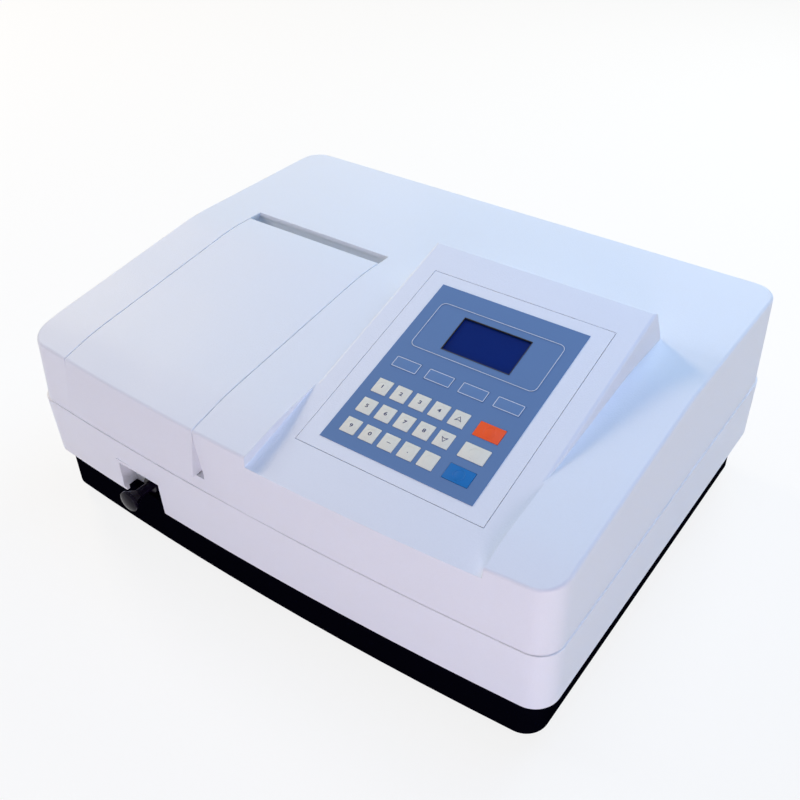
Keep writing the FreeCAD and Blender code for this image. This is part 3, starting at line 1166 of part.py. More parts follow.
for name, across, width, rise in SOCKETS:
    socket_parts.append(block(name + "_shell", across + " + 0.2", "case_depth - wall - 10",
                              "inlet_level - " + rise + " / 2 + 0.2", width + " - 0.4", "wall + 10.5",
                              rise + " - 0.4"))
    socket_cavities.append(block(name + "_cavity", across + " + 1.7", "case_depth - 7",
                                 "inlet_level - " + rise + " / 2 + 1.7", width + " - 3.4", "20", rise + " - 3.4"))
node("io_sockets", cut("io_sockets", joined("socket_body", socket_parts), socket_cavities))
screws = []
for number, (across, level) in enumerate(SCREWS):
    screws.append(joined("screw_" + str(number), [
        shaft("screw_head_" + str(number), across, "case_depth", level, "screw_head_radius", "rear_reach", "rear"),
        shaft("screw_shank_" + str(number), across, "case_depth - screw_length", level, "screw_radius",
              "screw_length + 1", "rear")]))
node("cover_screws", group("cover_screws", screws))

# Checks every object, then writes each piece under its own name

doc.recompute()
failed = [item.Name for item in doc.Objects if "Invalid" in item.State or "Error" in item.State]
failed += [item.Label for item in nodes if item.Shape.isNull() or not item.Shape.isValid()]
if failed:
    raise RuntimeError("objects that failed: " + ", ".join(failed))
os.makedirs("parts", exist_ok=True)
for item in nodes:
    item.Shape.exportStep("parts/" + item.Label + ".step")
print(len(nodes), "pieces written")
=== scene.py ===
# %% [markdown]
# # A benchtop spectrophotometer
#
# The instrument's case, lid and inner parts come from an engineering model, whose solids are already in
# the right place. This script gives them their finishes, and models the small things that a hand would
# touch or an eye would stop at: the domed keys and their printed signs, the printed outlines, the
# display's liner, the turned knob and the screws. Each cell makes one thing and prints what it made.

# %% Load the frame
import math

import bpy
from mathutils import Matrix, Vector


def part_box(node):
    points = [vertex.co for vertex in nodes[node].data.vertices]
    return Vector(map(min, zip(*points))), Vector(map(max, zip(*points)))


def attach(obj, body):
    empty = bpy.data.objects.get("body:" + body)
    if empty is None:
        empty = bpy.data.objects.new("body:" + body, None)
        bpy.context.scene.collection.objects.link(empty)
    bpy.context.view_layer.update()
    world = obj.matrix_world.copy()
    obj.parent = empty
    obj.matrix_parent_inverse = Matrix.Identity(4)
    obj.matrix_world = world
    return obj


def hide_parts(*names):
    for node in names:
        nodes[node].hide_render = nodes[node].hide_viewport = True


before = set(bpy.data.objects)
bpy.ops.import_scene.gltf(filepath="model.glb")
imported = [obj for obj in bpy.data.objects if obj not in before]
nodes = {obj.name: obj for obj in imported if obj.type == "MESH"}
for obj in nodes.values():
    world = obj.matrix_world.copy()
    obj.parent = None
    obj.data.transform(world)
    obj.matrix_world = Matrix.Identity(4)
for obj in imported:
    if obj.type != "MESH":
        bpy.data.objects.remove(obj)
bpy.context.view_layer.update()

MM = 0.001

# %% [markdown]
# ## Camera
#
# The camera stands where the photograph was taken: to the right of the instrument's front, looking down
# at 37 degrees. Its place, its roll and the small shift of the picture's centre were worked out from the
# case's straight edges, which is surer than trying values by eye. Turning the camera a little would also
# move the picture, but a shift leaves the perspective as it is.

# %% Camera
CAMERA_PLACE = Vector((0.40269, -0.53434, 0.60486))
CAMERA_AZIMUTH = math.radians(35.65)
CAMERA_ELEVATION = 37.28
CAMERA_TILT = math.radians(90 - CAMERA_ELEVATION)
CAMERA_ROLL = math.radians(-0.69)
CAMERA_LENS = 44.78
CAMERA_SENSOR = 36
CAMERA_SHIFT = (-0.0201, -0.0065)

camera_data = bpy.data.cameras.new("camera")
camera_data.sensor_width = CAMERA_SENSOR
camera_data.lens = CAMERA_LENS
camera_data.shift_x, camera_data.shift_y = CAMERA_SHIFT
camera = bpy.data.objects.new("camera", camera_data)
camera.location = CAMERA_PLACE
turn = (Matrix.Rotation(CAMERA_AZIMUTH, 3, "Z") @ Matrix.Rotation(CAMERA_TILT, 3, "X")
        @ Matrix.Rotation(CAMERA_ROLL, 3, "Z"))
camera.rotation_euler = turn.to_euler()
bpy.context.scene.collection.objects.link(camera)
bpy.context.scene.camera = camera
bpy.context.scene.view_settings.view_transform = "Standard"
print("camera at", [round(value, 3) for value in camera.location])

# %% [markdown]
# ## Lamps
#
# The photograph has the soft light of a white tent. A warm lamp and a plain one on the left, a pale one
# behind and a blue one above mix to the cool white of the top. Where the panel's housing shades the left
# lamps, the blue one stays, and that is why the shadows are blue. A low lamp with a trace of lavender
# lights the front, and a weak one the right side. One white lamp would be simpler, but its shadows would
# be grey. Two of the lamps are kept out of reflections, so that they don't wash out the membrane when
# the instrument is seen from low down.

# %% Lamps
LAMP_TARGET = Vector((0, 0, 0.1))


def area_lamp(name, place, size, power, colour, shines=True):
    """A square lamp that faces the middle of the instrument, and makes highlights only if it shines."""
    data = bpy.data.lights.new(name, "AREA")
    data.shape = "SQUARE"
    data.size = size
    data.energy = power
    data.color = colour
    lamp = bpy.data.objects.new(name, data)
    lamp.location = place
    lamp.visible_glossy = shines
    lamp.rotation_euler = (LAMP_TARGET - Vector(place)).to_track_quat("-Z", "Y").to_euler()
    bpy.context.scene.collection.objects.link(lamp)


area_lamp("lamp_key", (-2.2, 0.58, 1.75), 0.6, 29, (1.0, 0.76, 0.45))
area_lamp("lamp_left", (-2.4, -0.5, 1.05), 0.8, 25, (0.86, 0.91, 1.0), shines=False)
area_lamp("lamp_above", (0.35, 0.35, 1.25), 0.8, 8.0, (0.18, 0.46, 1.0))
area_lamp("lamp_rear", (0.2, 1.4, 1.1), 0.8, 14, (0.9, 1.0, 0.95), shines=False)
area_lamp("lamp_front", (1.3, -2.2, 0.3), 1.0, 40, (0.95, 0.84, 1.0))
area_lamp("lamp_right", (1.8, 0.2, 0.5), 0.9, 2.6, (1.0, 0.97, 0.8))
print("hung", len(bpy.data.lights), "lamps")

# %% [markdown]
# ## Background
#
# The background is plain white in the picture, and yet it shouldn't light the instrument like a white
# room. The world is therefore two backgrounds: a dim one for the light, and a white one for the rays
# that see it. The Light Path node tells the two kinds of ray apart. A white sheet behind the instrument
# would do too, but it would throw light and catch shadows.

# %% Background
AMBIENT_COLOUR = (0.93, 0.96, 1.0, 1)
AMBIENT_STRENGTH = 0.09
PURE_WHITE = (1, 1, 1, 1)


def backdrop_mask(tree):
    """Gives one for rays that see the background: from the camera, from a mirror, or through glass."""
    path = tree.nodes.new("ShaderNodeLightPath")
    first = tree.nodes.new("ShaderNodeMath")
    first.operation = "MAXIMUM"
    second = tree.nodes.new("ShaderNodeMath")
    second.operation = "MAXIMUM"
    tree.links.new(path.outputs["Is Camera Ray"], first.inputs[0])
    tree.links.new(path.outputs["Is Glossy Ray"], first.inputs[1])
    tree.links.new(first.outputs[0], second.inputs[0])
    tree.links.new(path.outputs["Is Transmission Ray"], second.inputs[1])
    return second.outputs[0]


world = bpy.data.worlds.new("tent")
bpy.context.scene.world = world
world.use_nodes = True
sky = world.node_tree
ambient = sky.nodes["Background"]
ambient.inputs["Color"].default_value = AMBIENT_COLOUR
ambient.inputs["Strength"].default_value = AMBIENT_STRENGTH
white = sky.nodes.new("ShaderNodeBackground")
white.inputs["Color"].default_value = PURE_WHITE
white.inputs["Strength"].default_value = 1.0
sky_mix = sky.nodes.new("ShaderNodeMixShader")
sky.links.new(backdrop_mask(sky), sky_mix.inputs[0])
sky.links.new(ambient.outputs[0], sky_mix.inputs[1])
sky.links.new(white.outputs[0], sky_mix.inputs[2])
sky.links.new(sky_mix.outputs[0], sky.nodes["World Output"].inputs["Surface"])
print("made the white background")

# %% [markdown]
# ## Floor
#
# The table top runs out of the picture on all sides, so a single large disc will do. Its own colour is
# nearly white. To the camera it also glows a little, which lifts it to the photograph's clean white and
# still keeps a soft shadow under the case. Stronger lamps would whiten it as well, and the case with it.

# %% Floor
FLOOR_RADIUS = 6.0
FLOOR_SIDES = 96
FLOOR_COLOUR = (0.86, 0.87, 0.88, 1)
FLOOR_ROUGHNESS = 0.9
FLOOR_LIFT = 0.85


def start_clean():
    """Leaves no object selected and no edit mode open."""
    if bpy.context.mode != "OBJECT":
        bpy.ops.object.mode_set(mode="OBJECT")
    bpy.ops.object.select_all(action="DESELECT")


def table_finish():
    """A matt white that glows a little for the rays that see the background."""
    material = bpy.data.materials.new("table_white")
    material.use_nodes = True
    tree = material.node_tree
    matt = tree.nodes["Principled BSDF"]
    matt.inputs["Base Color"].default_value = FLOOR_COLOUR
    matt.inputs["Roughness"].default_value = FLOOR_ROUGHNESS
    glow = tree.nodes.new("ShaderNodeEmission")
    glow.inputs["Strength"].default_value = 1.0
    blend = tree.nodes.new("ShaderNodeMixShader")
    lift = tree.nodes.new("ShaderNodeMath")
    lift.operation = "MULTIPLY"
    lift.inputs[1].default_value = FLOOR_LIFT
    tree.links.new(backdrop_mask(tree), lift.inputs[0])
    tree.links.new(lift.outputs[0], blend.inputs[0])
    tree.links.new(matt.outputs[0], blend.inputs[1])
    tree.links.new(glow.outputs[0], blend.inputs[2])
    tree.links.new(blend.outputs[0], tree.nodes["Material Output"].inputs["Surface"])
    return material


start_clean()
bpy.ops.mesh.primitive_circle_add(vertices=FLOOR_SIDES, radius=FLOOR_RADIUS, fill_type="NGON",
                                  location=(0, 0, 0))
floor = bpy.context.object
floor.name = "floor"
bpy.ops.object.transform_apply(location=True, rotation=True, scale=True)
floor.data.materials.append(table_finish())
print("laid a floor of", FLOOR_RADIUS, "m radius")

# %% [markdown]
# ## Surface effects
#
# Two effects serve nearly every finish. **Grain** is the fine texture that a mould gives to plastic, or
# that a casting or a coat of paint has: a small noise for the height, and a wider one that makes the
# colour and the gloss uneven. **Brushing** is a noise drawn out along one direction, as a belt leaves it
# on metal. Each is a node group, so that one change reaches all the materials that use it. Bump maps
# from pictures would also work, but they need unwrapped surfaces.

# %% Helpers for node groups
NOISE_LOW = 0.3
NOISE_HIGH = 0.7


def new_group(name, inputs, outputs):
    """A shader node group with named sockets."""
    group = bpy.data.node_groups.new(name, "ShaderNodeTree")
    for label, kind, value in inputs:
        socket = group.interface.new_socket(name=label, in_out="INPUT", socket_type=kind)
        socket.default_value = value
    for label, kind in outputs:
        group.interface.new_socket(name=label, in_out="OUTPUT", socket_type=kind)
    return group, group.nodes.new("NodeGroupInput"), group.nodes.new("NodeGroupOutput")


def add_noise(tree, vector, scale, detail):
    """A noise texture on given coordinates."""
    noise = tree.nodes.new("ShaderNodeTexNoise")
    noise.inputs["Detail"].default_value = detail
    tree.links.new(vector, noise.inputs["Vector"])
    if isinstance(scale, float):
        noise.inputs["Scale"].default_value = scale
    else:
        tree.links.new(scale, noise.inputs["Scale"])
    return noise.outputs["Fac"]


def add_mix(tree, factor, first, second):
    """A colour between two, by a factor."""
    mix = tree.nodes.new("ShaderNodeMix")
    mix.data_type = "RGBA"
    tree.links.new(factor, mix.inputs["Factor"])
    tree.links.new(first, mix.inputs["A"])
    tree.links.new(second, mix.inputs["B"])
    return mix.outputs["Result"]


def add_range(tree, value, low, high):
    """Spreads a noise's usual values over the range between two sockets."""
    spread = tree.nodes.new("ShaderNodeMapRange")
    spread.inputs["From Min"].default_value = NOISE_LOW
    spread.inputs["From Max"].default_value = NOISE_HIGH
    tree.links.new(value, spread.inputs["Value"])
    tree.links.new(low, spread.inputs["To Min"])
    tree.links.new(high, spread.inputs["To Max"])
    return spread.outputs["Result"]


# %% The grain
GRAIN_INPUTS = [("Light", "NodeSocketColor", (0.8, 0.8, 0.8, 1)),
                ("Dark", "NodeSocketColor", (0.7, 0.7, 0.7, 1)),
                ("Fine", "NodeSocketFloat", 1400.0),
                ("Broad", "NodeSocketFloat", 12.0),
                ("Smooth", "NodeSocketFloat", 0.4),
                ("Rough", "NodeSocketFloat", 0.5)]
EFFECT_OUTPUTS = [("Colour", "NodeSocketColor"), ("Roughness", "NodeSocketFloat"),
                  ("Height", "NodeSocketFloat")]
FINE_DETAIL = 3.0
BROAD_DETAIL = 4.0
HALF = 0.5

grain, grain_in, grain_out = new_group("grain", GRAIN_INPUTS, EFFECT_OUTPUTS)
place = grain.nodes.new("ShaderNodeTexCoord").outputs["Object"]
fine = add_noise(grain, place, grain_in.outputs["Fine"], FINE_DETAIL)
broad = add_noise(grain, place, grain_in.outputs["Broad"], BROAD_DETAIL)
uneven = grain.nodes.new("ShaderNodeMath")
uneven.operation = "MULTIPLY_ADD"
uneven.inputs[1].default_value = HALF
grain.links.new(fine, uneven.inputs[0])
halved = grain.nodes.new("ShaderNodeMath")
halved.operation = "MULTIPLY"
halved.inputs[1].default_value = HALF
grain.links.new(broad, halved.inputs[0])
grain.links.new(halved.outputs[0], uneven.inputs[2])
grain.links.new(add_mix(grain, uneven.outputs[0], grain_in.outputs["Dark"], grain_in.outputs["Light"]),
                grain_out.inputs["Colour"])
grain.links.new(add_range(grain, broad, grain_in.outputs["Smooth"], grain_in.outputs["Rough"]),
                grain_out.inputs["Roughness"])
grain.links.new(fine, grain_out.inputs["Height"])
print("made the group", grain.name)

# %% The brushing
BRUSH_INPUTS = [("Light", "NodeSocketColor", (0.7, 0.7, 0.7, 1)),
                ("Dark", "NodeSocketColor", (0.5, 0.5, 0.5, 1)),
                ("Stretch", "NodeSocketVector", (1.0, 1.0, 1.0)),
                ("Smooth", "NodeSocketFloat", 0.2),
                ("Rough", "NodeSocketFloat", 0.4)]
LINE_SCALE = 1.0
LINE_DETAIL = 2.0

brush, brush_in, brush_out = new_group("brushing", BRUSH_INPUTS, EFFECT_OUTPUTS)
stretch = brush.nodes.new("ShaderNodeVectorMath")
stretch.operation = "MULTIPLY"
brush.links.new(brush.nodes.new("ShaderNodeTexCoord").outputs["Object"], stretch.inputs[0])
brush.links.new(brush_in.outputs["Stretch"], stretch.inputs[1])
lines = add_noise(brush, stretch.outputs["Vector"], LINE_SCALE, LINE_DETAIL)
brush.links.new(add_mix(brush, lines, brush_in.outputs["Dark"], brush_in.outputs["Light"]),
                brush_out.inputs["Colour"])
brush.links.new(add_range(brush, lines, brush_in.outputs["Smooth"], brush_in.outputs["Rough"]),
                brush_out.inputs["Roughness"])
brush.links.new(lines, brush_out.inputs["Height"])
print("made the group", brush.name)

# %% [markdown]
# ## Finishes
#
# A finish is a Principled shader fed by one of the two groups. Colours are given as linear values. Each
# has a light and a dark form, a few percent apart on a clean moulding and further apart on metal and on
# the circuit board, because no real surface is one flat colour.

# %% Finish makers
THIN_RELIEF = 0.0001
GLASS_GRAIN = 60.0
GLASS_TINT = 0.02
GLASS_DEPTH = 0.02
GLASS_SPREAD = 0.02
GLASS_IOR = 1.46


def darker(colour, share):
    """The same colour with a share taken off."""
    return tuple(value * (1 - share) for value in colour) + (1,)


def base_material(name, group, colour, uneven, rough, depth, reach):
    """A material with one effect group that drives colour, roughness and bump."""
    material = bpy.data.materials.new(name)
    material.use_nodes = True
    tree = material.node_tree
    shader = tree.nodes["Principled BSDF"]
    effect = tree.nodes.new("ShaderNodeGroup")
    effect.node_tree = group
    effect.inputs["Light"].default_value = darker(colour, 0)
    effect.inputs["Dark"].default_value = darker(colour, uneven)
    effect.inputs["Smooth"].default_value, effect.inputs["Rough"].default_value = rough
    bump = tree.nodes.new("ShaderNodeBump")
    bump.inputs["Strength"].default_value = depth
    bump.inputs["Distance"].default_value = reach
    tree.links.new(effect.outputs["Colour"], shader.inputs["Base Color"])
    tree.links.new(effect.outputs["Roughness"], shader.inputs["Roughness"])
    tree.links.new(effect.outputs["Height"], bump.inputs["Height"])
    tree.links.new(bump.outputs["Normal"], shader.inputs["Normal"])
    return material, shader, effect


def grained(name, colour, uneven=0.06, fine=1400.0, broad=12.0, rough=(0.42, 0.52), depth=0.2,
            reach=THIN_RELIEF, metal=0.0, gloss=0.5):
    """A moulded, cast or painted surface."""
    material, shader, effect = base_material(name, grain, colour, uneven, rough, depth, reach)
    effect.inputs["Fine"].default_value = fine
    effect.inputs["Broad"].default_value = broad
    shader.inputs["Metallic"].default_value = metal
    shader.inputs["Specular IOR Level"].default_value = gloss
    return material


def brushed(name, colour, stretch, uneven=0.25, rough=(0.22, 0.4), depth=0.15):
    """A metal surface with fine lines along one direction."""
    material, shader, effect = base_material(name, brush, colour, uneven, rough, depth, THIN_RELIEF)
    effect.inputs["Stretch"].default_value = stretch
    shader.inputs["Metallic"].default_value = 1.0
    return material


def clear(name, colour, smoothest=0.03):
    """Glass, with a faint unevenness in its colour."""
    rough = (smoothest, smoothest + GLASS_SPREAD)
    material, shader, effect = base_material(name, grain, colour, GLASS_TINT, rough, GLASS_DEPTH,
                                             THIN_RELIEF)
    effect.inputs["Fine"].default_value = GLASS_GRAIN
    shader.inputs["Transmission Weight"].default_value = 1.0
    shader.inputs["IOR"].default_value = GLASS_IOR
    return material


# %% [markdown]
# ## Finishes of the outside
#
# The case is a moulded off-white with a fine grain, and the base a matt black. The panel's membrane and
# its mode keys are one blue film, the keys a shade lighter. The other keys are ivory, red and blue pads,
# and the knob has a little polish. Plain colours would be simpler, but a moulding without any grain looks
# like plaster.

# %% Finishes of the outside
KEY_FILM = {"fine": 1800.0, "rough": (0.34, 0.44), "depth": 0.05, "gloss": 0.3}
BLUE_FILM = {"uneven": 0.08, "fine": 1800.0, "broad": 16.0, "rough": (0.36, 0.44), "depth": 0.05,
             "gloss": 0.06}
INK_FILM = {"fine": 2500.0, "rough": (0.4, 0.5), "depth": 0.03}

cover_white = grained("cover_white", (0.80, 0.815, 0.85), uneven=0.07, fine=850.0, broad=9.0,
                      rough=(0.48, 0.58), depth=0.6, reach=0.0003)
base_black = grained("base_black", (0.0015, 0.0015, 0.004), uneven=0.3, fine=1600.0, rough=(0.65, 0.75),
                     depth=0.1, gloss=0.0)
foot_rubber = grained("foot_rubber", (0.02, 0.02, 0.02), uneven=0.3, rough=(0.7, 0.85), fine=900.0)
overlay_blue = grained("overlay_blue", (0.14, 0.235, 0.41), **BLUE_FILM)
mode_blue = grained("mode_blue", (0.15, 0.25, 0.43), **BLUE_FILM)
key_ivory = grained("key_ivory", (0.80, 0.76, 0.63), uneven=0.05, **KEY_FILM)
key_red = grained("key_red", (0.93, 0.10, 0.015), uneven=0.08, **KEY_FILM)
key_blue = grained("key_blue", (0.003, 0.15, 0.42), uneven=0.08, **KEY_FILM)
ink_navy = grained("ink_navy", (0.02, 0.025, 0.09), uneven=0.1, **INK_FILM)
ink_pale = grained("ink_pale", (0.62, 0.66, 0.72), uneven=0.08, **INK_FILM)
display_navy = grained("display_navy", (0.002, 0.02, 0.15), uneven=0.15, fine=90.0, broad=30.0,
                       rough=(0.1, 0.2), depth=0.01, gloss=0.05)
# Painted shade: this black goes on a frame that stands for the shade on the walls of the display's window.
painted_shade_black = grained("painted_shade_black", (0.008, 0.008, 0.01), uneven=0.2, rough=(0.4, 0.5), depth=0.05)
knob_black = grained("knob_black", (0.004, 0.002, 0.009), uneven=0.2, fine=500.0, rough=(0.2, 0.28),
                     depth=0.03, gloss=0.1)
print("mixed the finishes of the outside, the last one", knob_black.name)

# %% [markdown]
# ## Finishes of the inside
#
# Whatever stands round the light path is black, so that stray light dies there. The bench is a grey
# casting, and the rest is paint, plastic, bare metal and glass. The covers hide most of it, and one plain
# grey would do for that, but a model that is used again may be shown opened up. So the inner pieces have
# finishes of their own too.

# %% Painted and moulded finishes of the inside
chamber_black = grained("chamber_black", (0.012, 0.012, 0.013), uneven=0.25, fine=1300.0,
                        rough=(0.6, 0.75))
anodised_black = grained("anodised_black", (0.02, 0.02, 0.022), uneven=0.2, fine=1800.0,
                         rough=(0.35, 0.45), metal=0.6, depth=0.08)
housing_black = grained("housing_black", (0.02, 0.02, 0.023), uneven=0.25, fine=900.0,
                        rough=(0.5, 0.65), depth=0.3)
casting_grey = grained("casting_grey", (0.42, 0.43, 0.45), uneven=0.18, fine=420.0, broad=18.0,
                       rough=(0.45, 0.6), metal=0.85, depth=0.35, reach=0.0003)
detector_grey = grained("detector_grey", (0.12, 0.125, 0.14), uneven=0.12, fine=900.0, rough=(0.45, 0.6))
motor_dark = grained("motor_dark", (0.05, 0.05, 0.055), uneven=0.2, fine=1200.0, rough=(0.3, 0.42),
                     metal=0.7)
board_green = grained("board_green", (0.01, 0.12, 0.035), uneven=0.5, fine=260.0, broad=90.0,
                      rough=(0.3, 0.5), depth=0.1)
fan_black = grained("fan_black", (0.012, 0.012, 0.013), uneven=0.2, fine=1300.0, rough=(0.4, 0.5))
inlet_black = grained("inlet_black", (0.01, 0.01, 0.011), uneven=0.2, fine=1600.0, rough=(0.35, 0.45))
rocker_red = grained("rocker_red", (0.42, 0.01, 0.008), uneven=0.15, fine=900.0, rough=(0.15, 0.25),
                     depth=0.04)
print("mixed the painted and moulded finishes of the inside, the last one", rocker_red.name)

# %% Metal and glass finishes
steel_along = brushed("steel_along", (0.58, 0.58, 0.6), (1500.0, 25.0, 1500.0))
steel_across = brushed("steel_across", (0.58, 0.58, 0.6), (25.0, 1500.0, 1500.0))
supply_zinc = brushed("supply_zinc", (0.5, 0.5, 0.51), (60.0, 60.0, 40.0), uneven=0.35, rough=(0.3, 0.5))
bare_aluminium = brushed("bare_aluminium", (0.7, 0.7, 0.72), (30.0, 1200.0, 1200.0), rough=(0.25, 0.4))
mirror_silver = brushed("mirror_silver", (0.9, 0.9, 0.92), (40.0, 40.0, 40.0), uneven=0.03,
                        rough=(0.02, 0.05), depth=0.01)
grating_silver = brushed("grating_silver", (0.72, 0.8, 0.92), (3.0, 9000.0, 3.0), uneven=0.3,
                         rough=(0.05, 0.12), depth=0.2)
window_glass = clear("window_glass", (0.95, 0.98, 1.0))
lamp_glass = clear("lamp_glass", (0.97, 0.97, 0.94), smoothest=0.06)
print("made", len(bpy.data.materials), "materials")

# %% [markdown]
# ## Giving the finishes out
#
# One table says which of the model's pieces wear which finish. A table is easier to read through than a
# line of code for each piece, and a loop then puts the finish into the piece's own material slots.

# %% Giving the finishes out
FINISHES = {
    cover_white: ["upper_cover", "lower_cover", "sample_lid", "panel_plate"],
    base_black: ["base_pan"],
    foot_rubber: ["rubber_feet"],
    overlay_blue: ["panel_overlay"],
    display_navy: ["lcd_display"],
    chamber_black: ["sample_chamber"],
    window_glass: ["chamber_windows"],
    anodised_black: ["cell_carriage", "filter_wheel", "slit_plates"],
    steel_along: ["carriage_rails"],
    steel_across: ["hinge_brackets", "io_sockets"],
    knob_black: ["changer_rod", "rod_bush"],
    casting_grey: ["optical_bench"],
    housing_black: ["monochromator_housing", "monochromator_cover"],
    mirror_silver: ["mono_mirrors", "source_mirror"],
    grating_silver: ["diffraction_grating"],
    bare_aluminium: ["grating_table", "lamp_housing"],
    motor_dark: ["drive_motors"],
    lamp_glass: ["tungsten_lamp", "deuterium_lamp"],
    detector_grey: ["photodetector"],
    board_green: ["main_board"],
    supply_zinc: ["power_supply"],
    fan_black: ["fan_frame", "fan_rotor"],
    inlet_black: ["mains_inlet"],
    rocker_red: ["power_rocker"],
}
for material, names in FINISHES.items():
    for name in names:
        for slot in nodes[name].material_slots:
            slot.material = material
print("finished", sum(len(names) for names in FINISHES.values()), "pieces of the frame")

# %% [markdown]
# ## Working on the sloped panel
#
# Keys, signs and outlines all lie on the panel, which slopes at 16.4 degrees. They are easiest to model
# flat, with the panel's own across and up-slope directions as X and Y, and to lay onto the slope at the
# end with one matrix. The keypad's places are read from the frame's own key solids.

# %% Panel helpers
PANEL_ANGLE = math.radians(16.4)
PANEL_TURN = Matrix.Rotation(PANEL_ANGLE, 4, "X")


def middle(name):
    """The centre of one of the frame's solids."""
    low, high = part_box(name)
    return (low + high) / 2


def lay_on_panel(piece, spot):
    """Moves a flat-modelled piece's mesh onto the slope, so that its middle comes to the spot."""
    piece.data.transform(Matrix.Translation(spot) @ PANEL_TURN)
    piece.data.update()


def on_panel(origin, across, up, level):
    """A point given in the panel's own directions, from one of the panel's points."""
    return origin + PANEL_TURN.to_3x3() @ Vector((across, up, level))


print("the panel slopes at", round(math.degrees(PANEL_ANGLE), 1), "degrees")

# %% [markdown]
# ## Hand tools
#
# A few steps come back for every piece: choosing it alone, applying its modifiers, putting its place and
# size into its mesh, joining, copying, giving it a finish and smoothing it. Operators act on whatever is
# selected, so a tool that uses one first deselects everything. Writing the steps out each time would
# also work, until one of them is forgotten.

# %% Hand tools
CREASE_DEGREES = 35


def choose(piece):
    """Makes a piece the only selected and the active one."""
    start_clean()
    bpy.context.view_layer.objects.active = piece
    piece.select_set(True)


def apply_all(piece):
    """Applies every modifier of a piece, in order."""
    choose(piece)
    for modifier in list(piece.modifiers):
        bpy.ops.object.modifier_apply(modifier=modifier.name)
    return piece


def settle(piece):
    """Puts a piece's place, turn and size into its mesh."""
    choose(piece)
    bpy.ops.object.transform_apply(location=True, rotation=True, scale=True)
    return piece


def join(pieces, name):
    """Joins pieces into the first one, or only names it where it is alone."""
    if len(pieces) == 1:
        pieces[0].name = name
        return pieces[0]
    start_clean()
    for piece in pieces:
        piece.select_set(True)
    bpy.context.view_layer.objects.active = pieces[0]
    bpy.ops.object.join()
    joined = bpy.context.object
    joined.name = name
    return joined


def copy_of(piece, name):
    """A copy with its own mesh."""
    twin = piece.copy()
    twin.data = piece.data.copy()
    twin.name = name
    bpy.context.scene.collection.objects.link(twin)
    return twin


def coat(piece, material):
    """Gives a piece one finish."""
    piece.data.materials.clear()
    piece.data.materials.append(material)
    return piece


def smooth(piece, degrees=CREASE_DEGREES):
    """Smooth shading, with creases kept where the surface turns sharply."""
    choose(piece)
    bpy.ops.object.shade_smooth_by_angle(angle=math.radians(degrees))
    return piece


# %% [markdown]
# ## Keys
#
# Each key of a membrane keypad is a printed pad with a dome pressed into it. The dome shows as a fine
# ring with a slightly raised middle. A slab with rounded corners carries a flat torus and a shallow cap,
# sunk so that only their tops stand out. The same could be sculpted into one mesh, but at a ring's width
# of half a millimetre the joined forms look the same and stay light.

# %% Slab maker
CORNER_STEPS = 5
EDGE_STEPS = 3
EDGE_ANGLE = math.radians(50)


def flat_slab(name, width, length, thick, corner, edge):
    """A slab with rounded upright corners and a softened rim, centred on the origin."""
    start_clean()
    bpy.ops.mesh.primitive_cube_add(size=1, location=(0, 0, 0), scale=(width, length, thick))
    slab = bpy.context.object
    slab.name = name
    settle(slab)
    bpy.context.tool_settings.mesh_select_mode = (False, True, False)
    for item in list(slab.data.vertices) + list(slab.data.polygons):
        item.select = False
    for item in slab.data.edges:
        ends = [slab.data.vertices[number].co for number in item.vertices]
        item.select = abs(ends[0].z - ends[1].z) > thick / 2
    bpy.ops.object.mode_set(mode="EDIT")
    bpy.ops.mesh.bevel(offset=corner, offset_type="OFFSET", segments=CORNER_STEPS)
    bpy.ops.object.mode_set(mode="OBJECT")
    rim = slab.modifiers.new("rim", "BEVEL")
    rim.width = edge
    rim.segments = EDGE_STEPS
    rim.limit_method = "ANGLE"
    rim.angle_limit = EDGE_ANGLE
    return apply_all(slab)


# %% Key maker
KEY_HALF = 0.625 * MM
KEY_CORNER = 0.4 * MM
KEY_EDGE = 0.12 * MM
RING_RADIUS = 4.3 * MM
RING_LINE = 0.28 * MM
RING_SINK = 0.12 * MM
RING_SEGMENTS = 40
RING_LINE_SEGMENTS = 8
CAP_RADIUS = 3.4 * MM
CAP_SINK = 0.1 * MM
CAP_FLATNESS = 0.075
CAP_SEGMENTS = 28
CAP_RINGS = 14


def key_pad(name, width, length, finish, ring=True):
    """A key, with its dome unless it has no ring."""
    parts = [flat_slab(name, width, length, 2 * KEY_HALF, KEY_CORNER, KEY_EDGE)]
    if ring:
        start_clean()
        bpy.ops.mesh.primitive_torus_add(major_radius=RING_RADIUS, minor_radius=RING_LINE,
                                         major_segments=RING_SEGMENTS, minor_segments=RING_LINE_SEGMENTS,
                                         location=(0, 0, KEY_HALF - RING_SINK))
        parts.append(settle(bpy.context.object))
        start_clean()
        bpy.ops.mesh.primitive_uv_sphere_add(segments=CAP_SEGMENTS, ring_count=CAP_RINGS, radius=CAP_RADIUS,
                                             location=(0, 0, KEY_HALF - CAP_SINK),
                                             scale=(1, 1, CAP_FLATNESS))
        parts.append(settle(bpy.context.object))
    return smooth(coat(join(parts, name), finish))


# %% [markdown]
# ## Signs on the keys
#
# The digits, the minus sign and the dot are dark ink, and the arrows are outlines. Ink has almost no
# thickness, but a film of a few hundredths of a millimetre keeps it clear of the key's own surface,
# where two faces in one plane would flicker. Text objects give good letter forms and are turned into
# meshes. Only plain digits and generic signs are printed.

# %% Digit maker
INK = 0.03 * MM
SIGN_LEVEL = KEY_HALF + 0.17 * MM
DIGIT_SIZE = 4.1 * MM
DIGIT_WEIGHT = 0.09 * MM
DIGIT_STRETCH = 1.35
DIGIT_STEPS = 4


